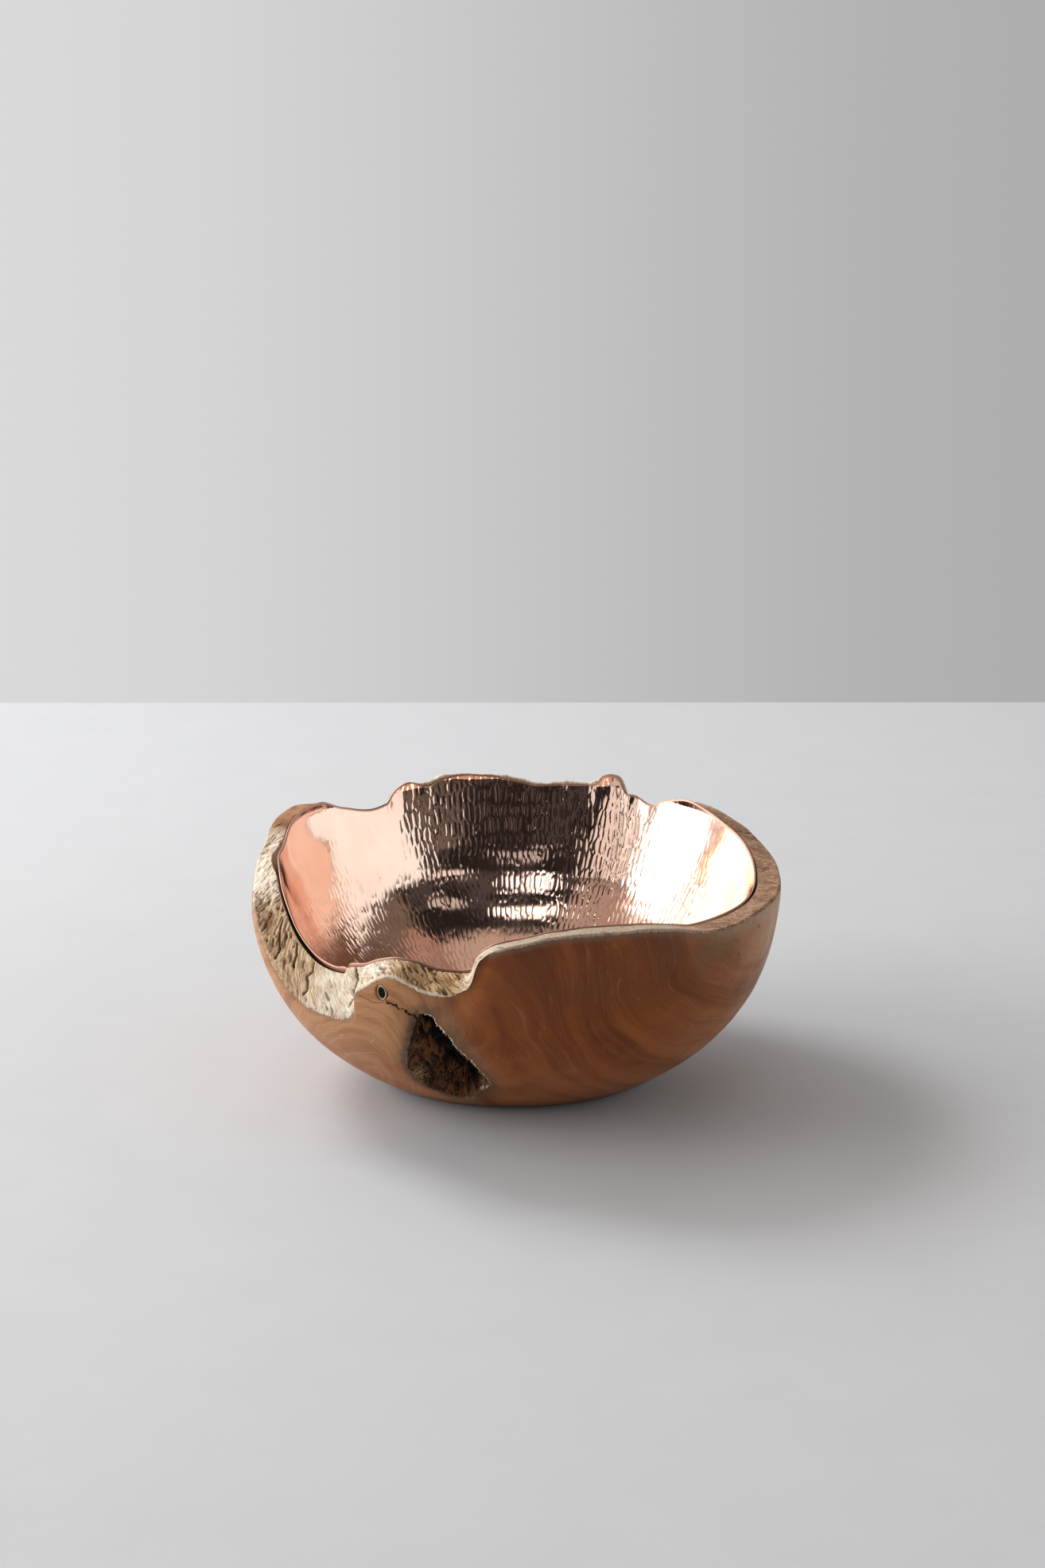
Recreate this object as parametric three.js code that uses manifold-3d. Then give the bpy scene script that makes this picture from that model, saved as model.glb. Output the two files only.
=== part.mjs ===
// A bowl carved from a teak root, lined with hammered copper sheet.
//
// Millimetres, +Z up, the origin at the centre of the foot, where the bowl stands.
// Angles are in degrees round the bowl: 0 points right, 90 back, 180 left, 270 front.

import * as THREE from 'three';
import { mergeVertices } from 'three/addons/utils/BufferGeometryUtils.js';
import Module from 'manifold-3d';

const wasm = await Module();
wasm.setup();

// ---- Driving dimensions ----------------------------------------------------------------------

// Plan outline of the bowl at its widest: a superellipse.
const HALF_LENGTH = 164;
const HALF_WIDTH = 156;
const SQUARENESS = 2.35;

// Outer wall: it swells from the foot and would turn vertical at SWELL_HEIGHT.
const FOOT_HALF_LENGTH = 80;
const FOOT_HALF_WIDTH = 60;
const FOOT_CHAMFER = 1.5;
const SWELL_HEIGHT = 174;
const SWELL_POWER = 3.4;

// Hollow of the wood: an oval flat floor, and walls that are quarter superellipses, which
// would turn vertical at MOUTH_HEIGHT.
const MOUTH_HEIGHT = 155;
const FLOOR_HEIGHT = 24;
const FLOOR_HALF_LENGTH = 42;
const FLOOR_HALF_WIDTH = 38;
const HOLLOW_POWER = 1.8;

// Copper sheet, and the glue space behind it, which narrows from the floor to the rim.
const SHEET = 1;
const SPACE_AT_FLOOR = 3;
const SPACE_AT_RIM = 0.5;
const COPPER_PROUD = 0.4;

// Clearance that touching pieces keep.
const GAP = 0.4;

// Live edge. Each entry is [angle, value]; the values between follow a smooth curve.
// Height of the rim's outer edge.
const RIM_OUTER = [
  [0, 132], [16, 131], [22, 132], [30, 135], [43, 139], [50, 139], [57, 131], [63, 130],
  [68, 136], [74, 132], [84, 131], [95, 134], [104, 134], [112, 132], [118, 126], [125, 124],
  [132, 130], [140, 141], [148, 146], [154, 145], [159, 141], [163, 134], [167, 131], [174, 128],
  [180, 124], [187, 121], [194, 116], [200, 107], [205, 98], [210, 88], [214, 82], [219, 79.5],
  [226, 79], [230, 82], [232.5, 88], [233.8, 100], [237, 107], [240, 113], [243, 116],
  [247, 111.5], [250, 107.5], [255, 106], [259, 113], [261.5, 131], [266, 136], [272, 140],
  [279, 144], [287, 145], [296, 145], [305, 142], [312, 137], [320, 135], [331, 136], [350, 133],
];
// Height of the rim's inner edge, which the copper follows.
const RIM_INNER = [
  [0, 134], [10, 134.5], [19, 136], [27, 138], [36, 142], [43, 144.5], [50, 140.5], [54, 136],
  [59, 140.5], [61, 141], [62, 145], [63.3, 151], [65, 152], [66.5, 151], [68, 147], [70, 145],
  [78, 144.5], [84, 144], [90, 147], [97, 150], [103, 151], [109, 149], [113, 145],
  [117.5, 148], [121, 144], [124, 136], [128, 134], [136, 139], [144, 147], [150, 147],
  [157, 143], [163, 137], [168, 135], [173, 135], [180, 133], [188, 128], [194, 124],
  [200, 117.5], [208, 107], [213, 103], [218, 101.5], [225, 103], [227.5, 109], [232, 112],
  [237, 118], [242, 121], [246, 120], [251, 116], [256, 115], [260, 117], [262, 129],
  [266, 135], [272, 138], [279, 142], [288, 144], [298, 143], [307, 139], [314, 135], [350, 133],
];
// Thickness of the wall at the height where both its faces would be vertical.
const MOUTH_WALL = [
  [0, 13.1], [20, 13.3], [38, 15], [60, 13], [80, 13.4], [110, 13.7], [130, 12.3], [145, 12.9],
  [168, 12.6], [183, 15.4], [195, 16.4], [206, 14.6], [218, 12.8], [232, 12], [246, 12.7],
  [261, 11], [274, 12.7], [300, 13.9], [320, 14.5], [340, 13.2],
];
// How far the outer edge of the rim is drawn in from the wall below it.
const RIM_ROUNDING = [
  [0, 0.5], [60, 0.8], [130, 1], [160, 1.6], [180, 2], [205, 2], [230, 1.5], [262, 0.8], [320, 0.6],
];
const ROUNDING_DEPTH = 10;

// Where a splinter has left the wood short of the copper, on the left of the rim.
const SPLINTER_ANGLE = 172;
const SPLINTER_SPREAD = 8;
const SPLINTER_DEPTH = 2.5;

// Rotted root hollow, low on the front: its outline as [angle, height], and its layers as
// [depth, scale about the deep point].
const ROT_OUTLINE = [
  [248, 90], [252, 84.5], [253.5, 77], [254.5, 67], [256, 60], [258, 52.5], [259.5, 44],
  [261, 34], [261.5, 25], [257, 18], [249, 14], [243, 18], [240, 24], [239, 33], [240, 46],
  [243.5, 64], [247, 84],
];
const ROT_DEEP_POINT = [249, 56];
const ROT_LAYERS = [[-4, 1.05], [0, 1], [6, 0.92], [12, 0.7], [15, 0.3]];

// Dead knot above it, and the drying crack that runs from the knot to the hollow.
const KNOT_AT = [240.8, 104];
const KNOT_HALF_WIDTH = 2.9;
const KNOT_HALF_HEIGHT = 5.1;
const KNOT_RIND = 0.9;
const KNOT_DEPTH = 6;
const CRACK_AT = [244, 95];
const CRACK_LINE = [[-5.5, 5.5], [-1, 1], [2, -0.5], [5.5, -5], [9, -11]];
const CRACK_WIDTH = 1;
const CRACK_DEPTH = 3.5;

// Glue under the copper: a bed on the floor and dabs round the wall.
const BED_MARGIN = 5;
const BED_EDGE = 0.8;
const DAB_ANGLES = [20, 80, 140, 200, 260, 320];
const DAB_TURN = 36;
const DAB_HALF_ANGLE = 6;
const DAB_HALF_TURN = 7;

// Fineness of the meshes.
const COLUMNS = 120;
const OUTER_ROWS = 13;
const RIM_ROWS = 3;
const HOLLOW_ROWS = 10;
const BED_SIDES = 40;
const DAB_SIDES = 16;
const OVAL_SEGMENTS = 16;

// ---- Curves ----------------------------------------------------------------------------------

const radians = THREE.MathUtils.degToRad;

// A smooth closed curve through [angle, value] entries that never overshoots them.
function roundCurve(entries) {
  const count = entries.length;
  const angleAt = i => entries[(i + count) % count][0] + 360 * Math.floor(i / count);
  const valueAt = i => entries[(i + count) % count][1];
  const rise = i => (valueAt(i + 1) - valueAt(i)) / (angleAt(i + 1) - angleAt(i));
  const slope = i => {
    const before = rise(i - 1);
    const after = rise(i);
    return before * after > 0 ? 2 * before * after / (before + after) : 0;
  };
  return angle => {
    const turned = THREE.MathUtils.euclideanModulo(angle - angleAt(0), 360) + angleAt(0);
    let i = 0;
    while (i < count - 1 && angleAt(i + 1) <= turned) i += 1;
    const step = angleAt(i + 1) - angleAt(i);
    const t = (turned - angleAt(i)) / step;
    const flip = 1 - t;
    return (1 + 2 * t) * flip * flip * valueAt(i) + t * flip * flip * step * slope(i)
      + t * t * (3 - 2 * t) * valueAt(i + 1) - t * t * flip * step * slope(i + 1);
  };
}

const rimOuter = roundCurve(RIM_OUTER);
const rimInner = roundCurve(RIM_INNER);
const mouthWall = roundCurve(MOUTH_WALL);
const rimRounding = roundCurve(RIM_ROUNDING);

// Distance from the axis to a superellipse of these half sizes.
function planRadius(angle, halfLength, halfWidth, power) {
  const along = Math.abs(Math.cos(radians(angle)) / halfLength) ** power;
  const across = Math.abs(Math.sin(radians(angle)) / halfWidth) ** power;
  return (along + across) ** (-1 / power);
}

function polar(angle, radius, height) {
  return new THREE.Vector3(radius * Math.cos(radians(angle)), radius * Math.sin(radians(angle)), height);
}

function splinterDepth(angle) {
  return SPLINTER_DEPTH * Math.exp(-(((angle - SPLINTER_ANGLE) / SPLINTER_SPREAD) ** 4));
}

// ---- Surfaces --------------------------------------------------------------------------------

// The outside of the wood.
function outerPoint(angle, height) {
  const foot = planRadius(angle, FOOT_HALF_LENGTH, FOOT_HALF_WIDTH, 2);
  const widest = planRadius(angle, HALF_LENGTH, HALF_WIDTH, SQUARENESS);
  const swell = 1 - (1 - height / SWELL_HEIGHT) ** SWELL_POWER;
  const nearRim = Math.max(0, 1 - (rimOuter(angle) - height) / ROUNDING_DEPTH);
  const radius = foot + (widest - foot) * swell - rimRounding(angle) * nearRim * nearRim;
  return polar(angle, radius, height);
}

// The hollow's wall, from turn 0 at the floor's edge to turn 90 where it would be vertical,
// moved inwards by inset and cut back by recess.
function hollowPoint(angle, turn, inset, recess = 0) {
  const floor = planRadius(angle, FLOOR_HALF_LENGTH, FLOOR_HALF_WIDTH, 2) - inset;
  const widest = planRadius(angle, HALF_LENGTH, HALF_WIDTH, SQUARENESS);
  const mouth = widest - mouthWall(angle) + recess - inset;
  const reach = Math.sin(radians(turn)) ** (2 / HOLLOW_POWER);
  const climb = 1 - Math.cos(radians(turn)) ** (2 / HOLLOW_POWER);
  const floorHeight = FLOOR_HEIGHT + inset;
  const height = floorHeight + (MOUTH_HEIGHT - floorHeight) * climb;
  return polar(angle, floor + (mouth - floor) * reach, height);
}

// The turn at which the hollow's wall reaches a height.
function turnAt(height) {
  const climb = (height - FLOOR_HEIGHT) / (MOUTH_HEIGHT - FLOOR_HEIGHT);
  return THREE.MathUtils.radToDeg(Math.acos((1 - climb) ** (HOLLOW_POWER / 2)));
}

// The glue space behind the copper at a turn of the hollow's wall.
function glueSpace(turn) {
  return SPACE_AT_RIM + (SPACE_AT_FLOOR - SPACE_AT_RIM) * Math.cos(radians(turn)) ** 2;
}

// ---- Mesh building ---------------------------------------------------------------------------

// A closed body from rings of points, with one point closing it at each end.
function ringBody(first, rings, last) {
  const sides = rings[0].length;
  const points = [first, ...rings.flat(), last];
  const index = [];
  for (let side = 0; side < sides; side += 1) {
    const next = (side + 1) % sides;
    index.push(0, 1 + next, 1 + side);
    for (let ring = 0; ring < rings.length - 1; ring += 1) {
      const low = 1 + ring * sides;
      const high = low + sides;
      index.push(low + side, low + next, high + next);
      index.push(low + side, high + next, high + side);
    }
    const top = 1 + (rings.length - 1) * sides;
    index.push(top + side, top + next, points.length - 1);
  }
  const geometry = new THREE.BufferGeometry().setFromPoints(points);
  geometry.setIndex(index);
  return geometry;
}

// One ring round the bowl: place(angle) gives each point.
function lap(place) {
  return Array.from({ length: COLUMNS }, (_, column) => place(360 * column / COLUMNS));
}

function rowsBetween(low, high, count) {
  return Array.from({ length: count + 1 }, (_, i) => low + (high - low) * i / count);
}

function toSolid(geometry) {
  const bare = geometry.clone();
  bare.deleteAttribute('normal');
  bare.deleteAttribute('uv');
  const merged = mergeVertices(bare, 1e-4);
  const mesh = new wasm.Mesh({
    numProp: 3,
    vertProperties: new Float32Array(merged.attributes.position.array),
    triVerts: new Uint32Array(merged.index.array),
  });
  return new wasm.Manifold(mesh);
}

function fromSolid(solid) {
  const mesh = solid.getMesh();
  const geometry = new THREE.BufferGeometry();
  geometry.setAttribute('position', new THREE.BufferAttribute(mesh.vertProperties, 3));
  geometry.setIndex(new THREE.BufferAttribute(mesh.triVerts, 1));
  return geometry;
}

// A frame on the outside of the wood: z points out of it, x along it and y up it.
function frameOnWall([angle, height]) {
  const here = outerPoint(angle, height);
  const along = outerPoint(angle + 0.5, height).sub(outerPoint(angle - 0.5, height)).normalize();
  const up = outerPoint(angle, height + 0.5).sub(outerPoint(angle, height - 0.5)).normalize();
  const out = new THREE.Vector3().crossVectors(along, up).normalize();
  const level = new THREE.Vector3().crossVectors(up, out);
  return new THREE.Matrix4().makeBasis(level, up, out).setPosition(here);
}

// ---- Teak bowl -------------------------------------------------------------------------------

function bowlBody() {
  const rings = [];
  rings.push(lap(angle => {
    const edge = planRadius(angle, FOOT_HALF_LENGTH, FOOT_HALF_WIDTH, 2) - FOOT_CHAMFER;
    return polar(angle, edge, 0);
  }));
  for (const share of rowsBetween(0, 1, OUTER_ROWS)) {
    const spread = 0.35 * share + 0.65 * share * share;
    rings.push(lap(angle => outerPoint(angle, FOOT_CHAMFER + (rimOuter(angle) - FOOT_CHAMFER) * spread)));
  }
  const rimEdge = angle => outerPoint(angle, rimOuter(angle));
  const innerEdge = angle => hollowPoint(angle, turnAt(rimInner(angle)), 0, splinterDepth(angle));
  for (let row = 1; row < RIM_ROWS; row += 1) {
    rings.push(lap(angle => rimEdge(angle).lerp(innerEdge(angle), row / RIM_ROWS)));
  }
  for (const share of rowsBetween(1, 0, HOLLOW_ROWS)) {
    const recess = angle => splinterDepth(angle) * Math.max(0, 3 * share - 2);
    rings.push(lap(angle => hollowPoint(angle, share * turnAt(rimInner(angle)), 0, recess(angle))));
  }
  return ringBody(polar(0, 0, 0), rings, polar(0, 0, FLOOR_HEIGHT));
}

// The rotted hollow: its outline at each layer shrinks towards the deep point.
function rotCutter() {
  const [deepAngle, deepHeight] = ROT_DEEP_POINT;
  const layer = (depth, scale) => ROT_OUTLINE.map(([angle, height]) => {
    const at = [deepAngle + (angle - deepAngle) * scale, deepHeight + (height - deepHeight) * scale];
    return new THREE.Vector3(0, 0, -depth).applyMatrix4(frameOnWall(at));
  });
  const centre = depth => new THREE.Vector3(0, 0, -depth).applyMatrix4(frameOnWall(ROT_DEEP_POINT));
  const rings = ROT_LAYERS.map(([depth, scale]) => layer(depth, scale));
  const outermost = ROT_LAYERS[0][0];
  const deepest = ROT_LAYERS.at(-1)[0];
  return ringBody(centre(outermost), rings, centre(deepest));
}

// A prism of this outline that reaches from a little outside the wall to this depth in it.
function wallPrism(shape, at, depth, above = 2) {
  const settings = { depth: depth + above, bevelEnabled: false, curveSegments: OVAL_SEGMENTS };
  const prism = new THREE.ExtrudeGeometry(shape, settings);
  prism.translate(0, 0, -depth);
  return prism.applyMatrix4(frameOnWall(at));
}

function oval(halfWidth, halfHeight) {
  return new THREE.Shape().absellipse(0, 0, halfWidth, halfHeight, 0, 2 * Math.PI, false);
}

function crackShape() {
  const half = CRACK_WIDTH / 2;
  const above = CRACK_LINE.map(([x, y]) => new THREE.Vector2(x + half, y + half));
  const below = CRACK_LINE.map(([x, y]) => new THREE.Vector2(x - half, y - half)).reverse();
  return new THREE.Shape([...above, ...below]);
}

function teakBowl() {
  const knotHole = oval(KNOT_HALF_WIDTH + GAP, KNOT_HALF_HEIGHT + GAP);
  const cutters = [
    rotCutter(),
    wallPrism(knotHole, KNOT_AT, KNOT_DEPTH + GAP),
    wallPrism(crackShape(), CRACK_AT, CRACK_DEPTH),
  ];
  return fromSolid(cutters.reduce((wood, cutter) => wood.subtract(toSolid(cutter)), toSolid(bowlBody())));
}

function deadKnot() {
  const ring = oval(KNOT_HALF_WIDTH, KNOT_HALF_HEIGHT);
  const inside = oval(KNOT_HALF_WIDTH - KNOT_RIND, KNOT_HALF_HEIGHT - KNOT_RIND);
  ring.holes.push(new THREE.Path(inside.getPoints(OVAL_SEGMENTS)));
  return wallPrism(ring, KNOT_AT, KNOT_DEPTH, 0);
}

// ---- Copper liner and its glue ---------------------------------------------------------------

function copperLiner() {
  const sheetPoint = (angle, share, depth) => {
    const turn = share * turnAt(rimInner(angle) + COPPER_PROUD);
    return hollowPoint(angle, turn, glueSpace(turn) + depth);
  };
  const shares = rowsBetween(0, 1, HOLLOW_ROWS);
  const back = shares.map(share => lap(angle => sheetPoint(angle, share, 0)));
  const face = shares.map(share => lap(angle => sheetPoint(angle, share, SHEET)));
  const underside = FLOOR_HEIGHT + SPACE_AT_FLOOR;
  return ringBody(polar(0, 0, underside), [...back, ...face.reverse()], polar(0, 0, underside + SHEET));
}

function adhesiveBed() {
  const low = FLOOR_HEIGHT + GAP;
  const high = FLOOR_HEIGHT + SPACE_AT_FLOOR - GAP;
  const ring = (margin, height) => Array.from({ length: BED_SIDES }, (_, side) => {
    const angle = 360 * side / BED_SIDES;
    return polar(angle, planRadius(angle, FLOOR_HALF_LENGTH, FLOOR_HALF_WIDTH, 2) - margin, height);
  });
  const middle = (low + high) / 2;
  const rings = [
    ring(BED_MARGIN + BED_EDGE, low),
    ring(BED_MARGIN, middle),
    ring(BED_MARGIN + BED_EDGE, high),
  ];
  return ringBody(polar(0, 0, low), rings, polar(0, 0, high));
}

// An oval dab that fills the glue space behind the copper, short of both faces.
function adhesiveDab(angle) {
  const place = (round, size, share) => {
    const turn = DAB_TURN + DAB_HALF_TURN * size * Math.sin(round);
    const inset = GAP + (glueSpace(turn) - 2 * GAP) * share;
    return hollowPoint(angle + DAB_HALF_ANGLE * size * Math.cos(round), turn, inset);
  };
  const ring = (size, share) => Array.from({ length: DAB_SIDES }, (_, side) => {
    return place(2 * Math.PI * side / DAB_SIDES, size, share);
  });
  const rings = [ring(0.5, 1), ring(0.9, 1), ring(1, 0.5), ring(0.9, 0), ring(0.5, 0)];
  return ringBody(place(0, 0, 1), rings, place(0, 0, 0));
}

// ---- Assembly --------------------------------------------------------------------------------

const teak = new THREE.MeshStandardMaterial({ color: 0x7a4a30, roughness: 0.5, metalness: 0 });
const copper = new THREE.MeshStandardMaterial({ color: 0xd9946f, roughness: 0.2, metalness: 1 });
const resin = new THREE.MeshStandardMaterial({ color: 0xc9a25a, roughness: 0.4, metalness: 0 });
const deadWood = new THREE.MeshStandardMaterial({ color: 0xb9a385, roughness: 0.8, metalness: 0 });

const bowl = new THREE.Group();

function addPiece(name, geometry, material) {
  const mesh = new THREE.Mesh(geometry, material);
  mesh.name = name;
  bowl.add(mesh);
}

addPiece('teak_bowl', teakBowl(), teak);
addPiece('dead_knot', deadKnot(), deadWood);
addPiece('copper_liner', copperLiner(), copper);
addPiece('adhesive_bed', adhesiveBed(), resin);
DAB_ANGLES.forEach((angle, i) => addPiece(`adhesive_dab_${i + 1}`, adhesiveDab(angle), resin));

export default bowl;
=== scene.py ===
"""A bowl carved from a teak root, lined with hammered copper, made round its CAD frame."""

import math

import bpy
import numpy as np
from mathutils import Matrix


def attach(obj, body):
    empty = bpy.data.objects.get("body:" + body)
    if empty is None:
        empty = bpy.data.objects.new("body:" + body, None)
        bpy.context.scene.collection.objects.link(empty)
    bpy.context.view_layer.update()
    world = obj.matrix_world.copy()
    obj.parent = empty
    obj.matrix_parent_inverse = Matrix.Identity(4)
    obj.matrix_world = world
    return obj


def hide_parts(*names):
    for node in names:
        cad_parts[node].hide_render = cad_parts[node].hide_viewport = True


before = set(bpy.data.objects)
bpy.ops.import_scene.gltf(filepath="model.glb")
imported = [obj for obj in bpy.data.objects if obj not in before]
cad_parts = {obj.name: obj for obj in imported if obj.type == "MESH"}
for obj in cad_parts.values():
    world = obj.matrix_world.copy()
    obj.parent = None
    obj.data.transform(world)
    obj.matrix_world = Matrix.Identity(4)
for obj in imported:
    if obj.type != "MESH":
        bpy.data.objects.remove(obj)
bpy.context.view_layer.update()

# ---- Driving dimensions, in millimetres and degrees ----
# Angles go round the bowl: 0 is right, 90 back, 180 left and 270 front. The form repeats the
# CAD model's; everything finer is added here.

MM = 0.001

HALF_LENGTH = 164
HALF_WIDTH = 156
SQUARENESS = 2.35
FOOT_HALF_LENGTH = 80
FOOT_HALF_WIDTH = 60
FOOT_CHAMFER = 1.5
SWELL_HEIGHT = 174
SWELL_POWER = 3.4
MOUTH_HEIGHT = 155
FLOOR_HEIGHT = 24
FLOOR_HALF_LENGTH = 42
FLOOR_HALF_WIDTH = 38
HOLLOW_POWER = 1.8
SHEET = 1
SPACE_AT_FLOOR = 3
SPACE_AT_RIM = 0.5
COPPER_PROUD = 0.4
ROUNDING_DEPTH = 10
SPLINTER_ANGLE = 172
SPLINTER_SPREAD = 8
SPLINTER_DEPTH = 2.5

RIM_OUTER = [
    (0, 132), (16, 131), (22, 132), (30, 135), (43, 139), (50, 139), (57, 131), (63, 130),
    (68, 136), (74, 132), (84, 131), (95, 134), (104, 134), (112, 132), (118, 126), (125, 124),
    (132, 130), (140, 141), (148, 146), (154, 145), (159, 141), (163, 134), (167, 131),
    (174, 128), (180, 124), (187, 121), (194, 116), (200, 107), (205, 98), (210, 88), (214, 82),
    (219, 79.5), (226, 79), (230, 82), (232.5, 88), (233.8, 100), (237, 107), (240, 113),
    (243, 116), (247, 111.5), (250, 107.5), (255, 106), (259, 113), (261.5, 131), (266, 136),
    (272, 140), (279, 144), (287, 145), (296, 145), (305, 142), (312, 137), (320, 135),
    (331, 136), (350, 133),
]
RIM_INNER = [
    (0, 134), (10, 134.5), (19, 136), (27, 138), (36, 142), (43, 144.5), (50, 140.5), (54, 136),
    (59, 140.5), (61, 141), (62, 145), (63.3, 151), (65, 152), (66.5, 151), (68, 147), (70, 145),
    (78, 144.5), (84, 144), (90, 147), (97, 150), (103, 151), (109, 149), (113, 145),
    (117.5, 148), (121, 144), (124, 136), (128, 134), (136, 139), (144, 147), (150, 147),
    (157, 143), (163, 137), (168, 135), (173, 135), (180, 133), (188, 128), (194, 124),
    (200, 117.5), (208, 107), (213, 103), (218, 101.5), (225, 103), (227.5, 109), (232, 112),
    (237, 118), (242, 121), (246, 120), (251, 116), (256, 115), (260, 117), (262, 129),
    (266, 135), (272, 138), (279, 142), (288, 144), (298, 143), (307, 139), (314, 135),
    (350, 133),
]
MOUTH_WALL = [
    (0, 13.1), (20, 13.3), (38, 15), (60, 13), (80, 13.4), (110, 13.7), (130, 12.3), (145, 12.9),
    (168, 12.6), (183, 15.4), (195, 16.4), (206, 14.6), (218, 12.8), (232, 12), (246, 12.7),
    (261, 11), (274, 12.7), (300, 13.9), (320, 14.5), (340, 13.2),
]
RIM_ROUNDING = [
    (0, 0.5), (60, 0.8), (130, 1), (160, 1.6), (180, 2), (205, 2), (230, 1.5), (262, 0.8),
    (320, 0.6),
]
ROT_OUTLINE = [
    (248, 90), (252, 84.5), (253.5, 77), (254.5, 67), (256, 60), (258, 52.5), (259.5, 44),
    (261, 34), (261.5, 25), (257, 18), (249, 14), (243, 18), (240, 24), (239, 33), (240, 46),
    (243.5, 64), (247, 84),
]
KNOT_AT = (240.8, 104)
KNOT_HALF_WIDTH = 2.9
KNOT_HALF_HEIGHT = 5.1
KNOT_DEPTH = 6

# ---- Noise ----

SHUFFLE_SEED, GRADIENT_SEED, CHANCE_SEED = 11, 12, 13
KEY_PRIMES = (7919, 104729, 1299709)
SHUFFLE = np.random.RandomState(SHUFFLE_SEED).permutation(256)
GRADIENTS = np.random.RandomState(GRADIENT_SEED).normal(size=(256, 3))
GRADIENTS /= np.linalg.norm(GRADIENTS, axis=1)[:, None]
CHANCES = np.random.RandomState(CHANCE_SEED).rand(4096)


def noise(x, y, z, seed=0):
    """Smooth noise, between about -1 and 1, with one unit for the size of its lumps."""
    x, y, z = np.broadcast_arrays(x, y, z)
    cells = [np.floor(c).astype(int) for c in (x, y, z)]
    parts = [c - cell for c, cell in zip((x, y, z), cells)]
    fades = [p * p * p * (p * (p * 6 - 15) + 10) for p in parts]
    total = np.zeros(x.shape)
    for corner in np.ndindex(2, 2, 2):
        key = np.full(x.shape, seed)
        weight = np.ones(x.shape)
        for cell, fade, side in zip(cells, fades, corner):
            key = SHUFFLE[(key + cell + side) & 255]
            weight = weight * (fade if side else 1 - fade)
        gradient = GRADIENTS[key]
        total += weight * sum(gradient[..., i] * (parts[i] - corner[i]) for i in range(3))
    return total * 1.7


def noise_at(points, size, seed=0):
    """Noise at points in millimetres, with lumps of this size."""
    return noise(*np.moveaxis(points / size, -1, 0), seed)


def chance(*keys):
    """A random number between 0 and 1 for each set of whole-number keys."""
    mixed = sum(np.asarray(k).astype(int) * prime for k, prime in zip(keys, KEY_PRIMES))
    return CHANCES[mixed % len(CHANCES)]


def smooth_step(value, low, high):
    t = np.clip((value - low) / (high - low), 0, 1)
    return t * t * (3 - 2 * t)


def span(value, begin, full, still_full, end):
    """1 within a stretch, with a smooth step at each side."""
    return smooth_step(value, begin, full) * smooth_step(-value, -end, -still_full)


def span_over_zero(angle, begin, full, still_full, end):
    """The same for a stretch of the bowl that crosses angle 0."""
    return np.maximum(smooth_step(angle, begin, full), smooth_step(-angle, -end, -still_full))


def mound(u, v, at_u, at_v, half_u, half_v):
    """A smooth mound, 1 high in its middle."""
    return np.exp(-(((u - at_u) / half_u) ** 2) - ((v - at_v) / half_v) ** 2)


# ---- Form ----


def round_curve(entries):
    """A smooth closed curve through (angle, value) entries that never overshoots them."""
    angles = np.array([a for a, _ in entries], float)
    values = np.array([v for _, v in entries], float)
    steps = np.diff(np.append(angles, angles[0] + 360))
    rises = (np.roll(values, -1) - values) / steps
    before = np.roll(rises, 1)
    same_way = before * rises > 0
    total = np.where(same_way, before + rises, 1)
    slopes = np.where(same_way, 2 * before * rises / total, 0)

    def curve(angle):
        turned = np.mod(np.asarray(angle, float) - angles[0], 360) + angles[0]
        i = np.searchsorted(angles, turned, side="right") - 1
        after = (i + 1) % len(angles)
        t = (turned - angles[i]) / steps[i]
        flip = 1 - t
        start = (1 + 2 * t) * flip**2 * values[i] + t * flip**2 * steps[i] * slopes[i]
        return start + t * t * (3 - 2 * t) * values[after] - t * t * flip * steps[i] * slopes[after]

    return curve


rim_outer = round_curve(RIM_OUTER)
rim_inner = round_curve(RIM_INNER)
mouth_wall = round_curve(MOUTH_WALL)
rim_rounding = round_curve(RIM_ROUNDING)


def plan_radius(angle, half_length, half_width, power):
    along = np.abs(np.cos(np.radians(angle)) / half_length) ** power
    across = np.abs(np.sin(np.radians(angle)) / half_width) ** power
    return (along + across) ** (-1 / power)


def polar(angle, radius, height):
    angle, radius, height = np.broadcast_arrays(angle, radius, height)
    turn = np.radians(angle)
    return np.stack([radius * np.cos(turn), radius * np.sin(turn), height], -1)


def splinter_depth(angle):
    return SPLINTER_DEPTH * np.exp(-(((angle - SPLINTER_ANGLE) / SPLINTER_SPREAD) ** 4))


def outer_point(angle, height):
    """The outside of the wood."""
    foot = plan_radius(angle, FOOT_HALF_LENGTH, FOOT_HALF_WIDTH, 2)
    widest = plan_radius(angle, HALF_LENGTH, HALF_WIDTH, SQUARENESS)
    swell = 1 - (1 - height / SWELL_HEIGHT) ** SWELL_POWER
    near_rim = np.maximum(0, 1 - (rim_outer(angle) - height) / ROUNDING_DEPTH)
    return polar(angle, foot + (widest - foot) * swell - rim_rounding(angle) * near_rim**2, height)


def hollow_point(angle, turn, inset, recess=0):
    """The wall of the hollow, from turn 0 at its floor to turn 90 where it would be vertical."""
    floor = plan_radius(angle, FLOOR_HALF_LENGTH, FLOOR_HALF_WIDTH, 2) - inset
    outside = plan_radius(angle, HALF_LENGTH, HALF_WIDTH, SQUARENESS)
    mouth = outside - mouth_wall(angle) + recess - inset
    reach = np.sin(np.radians(turn)) ** (2 / HOLLOW_POWER)
    climb = 1 - np.cos(np.radians(turn)) ** (2 / HOLLOW_POWER)
    base = FLOOR_HEIGHT + inset
    return polar(angle, floor + (mouth - floor) * reach, base + (MOUTH_HEIGHT - base) * climb)


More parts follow.
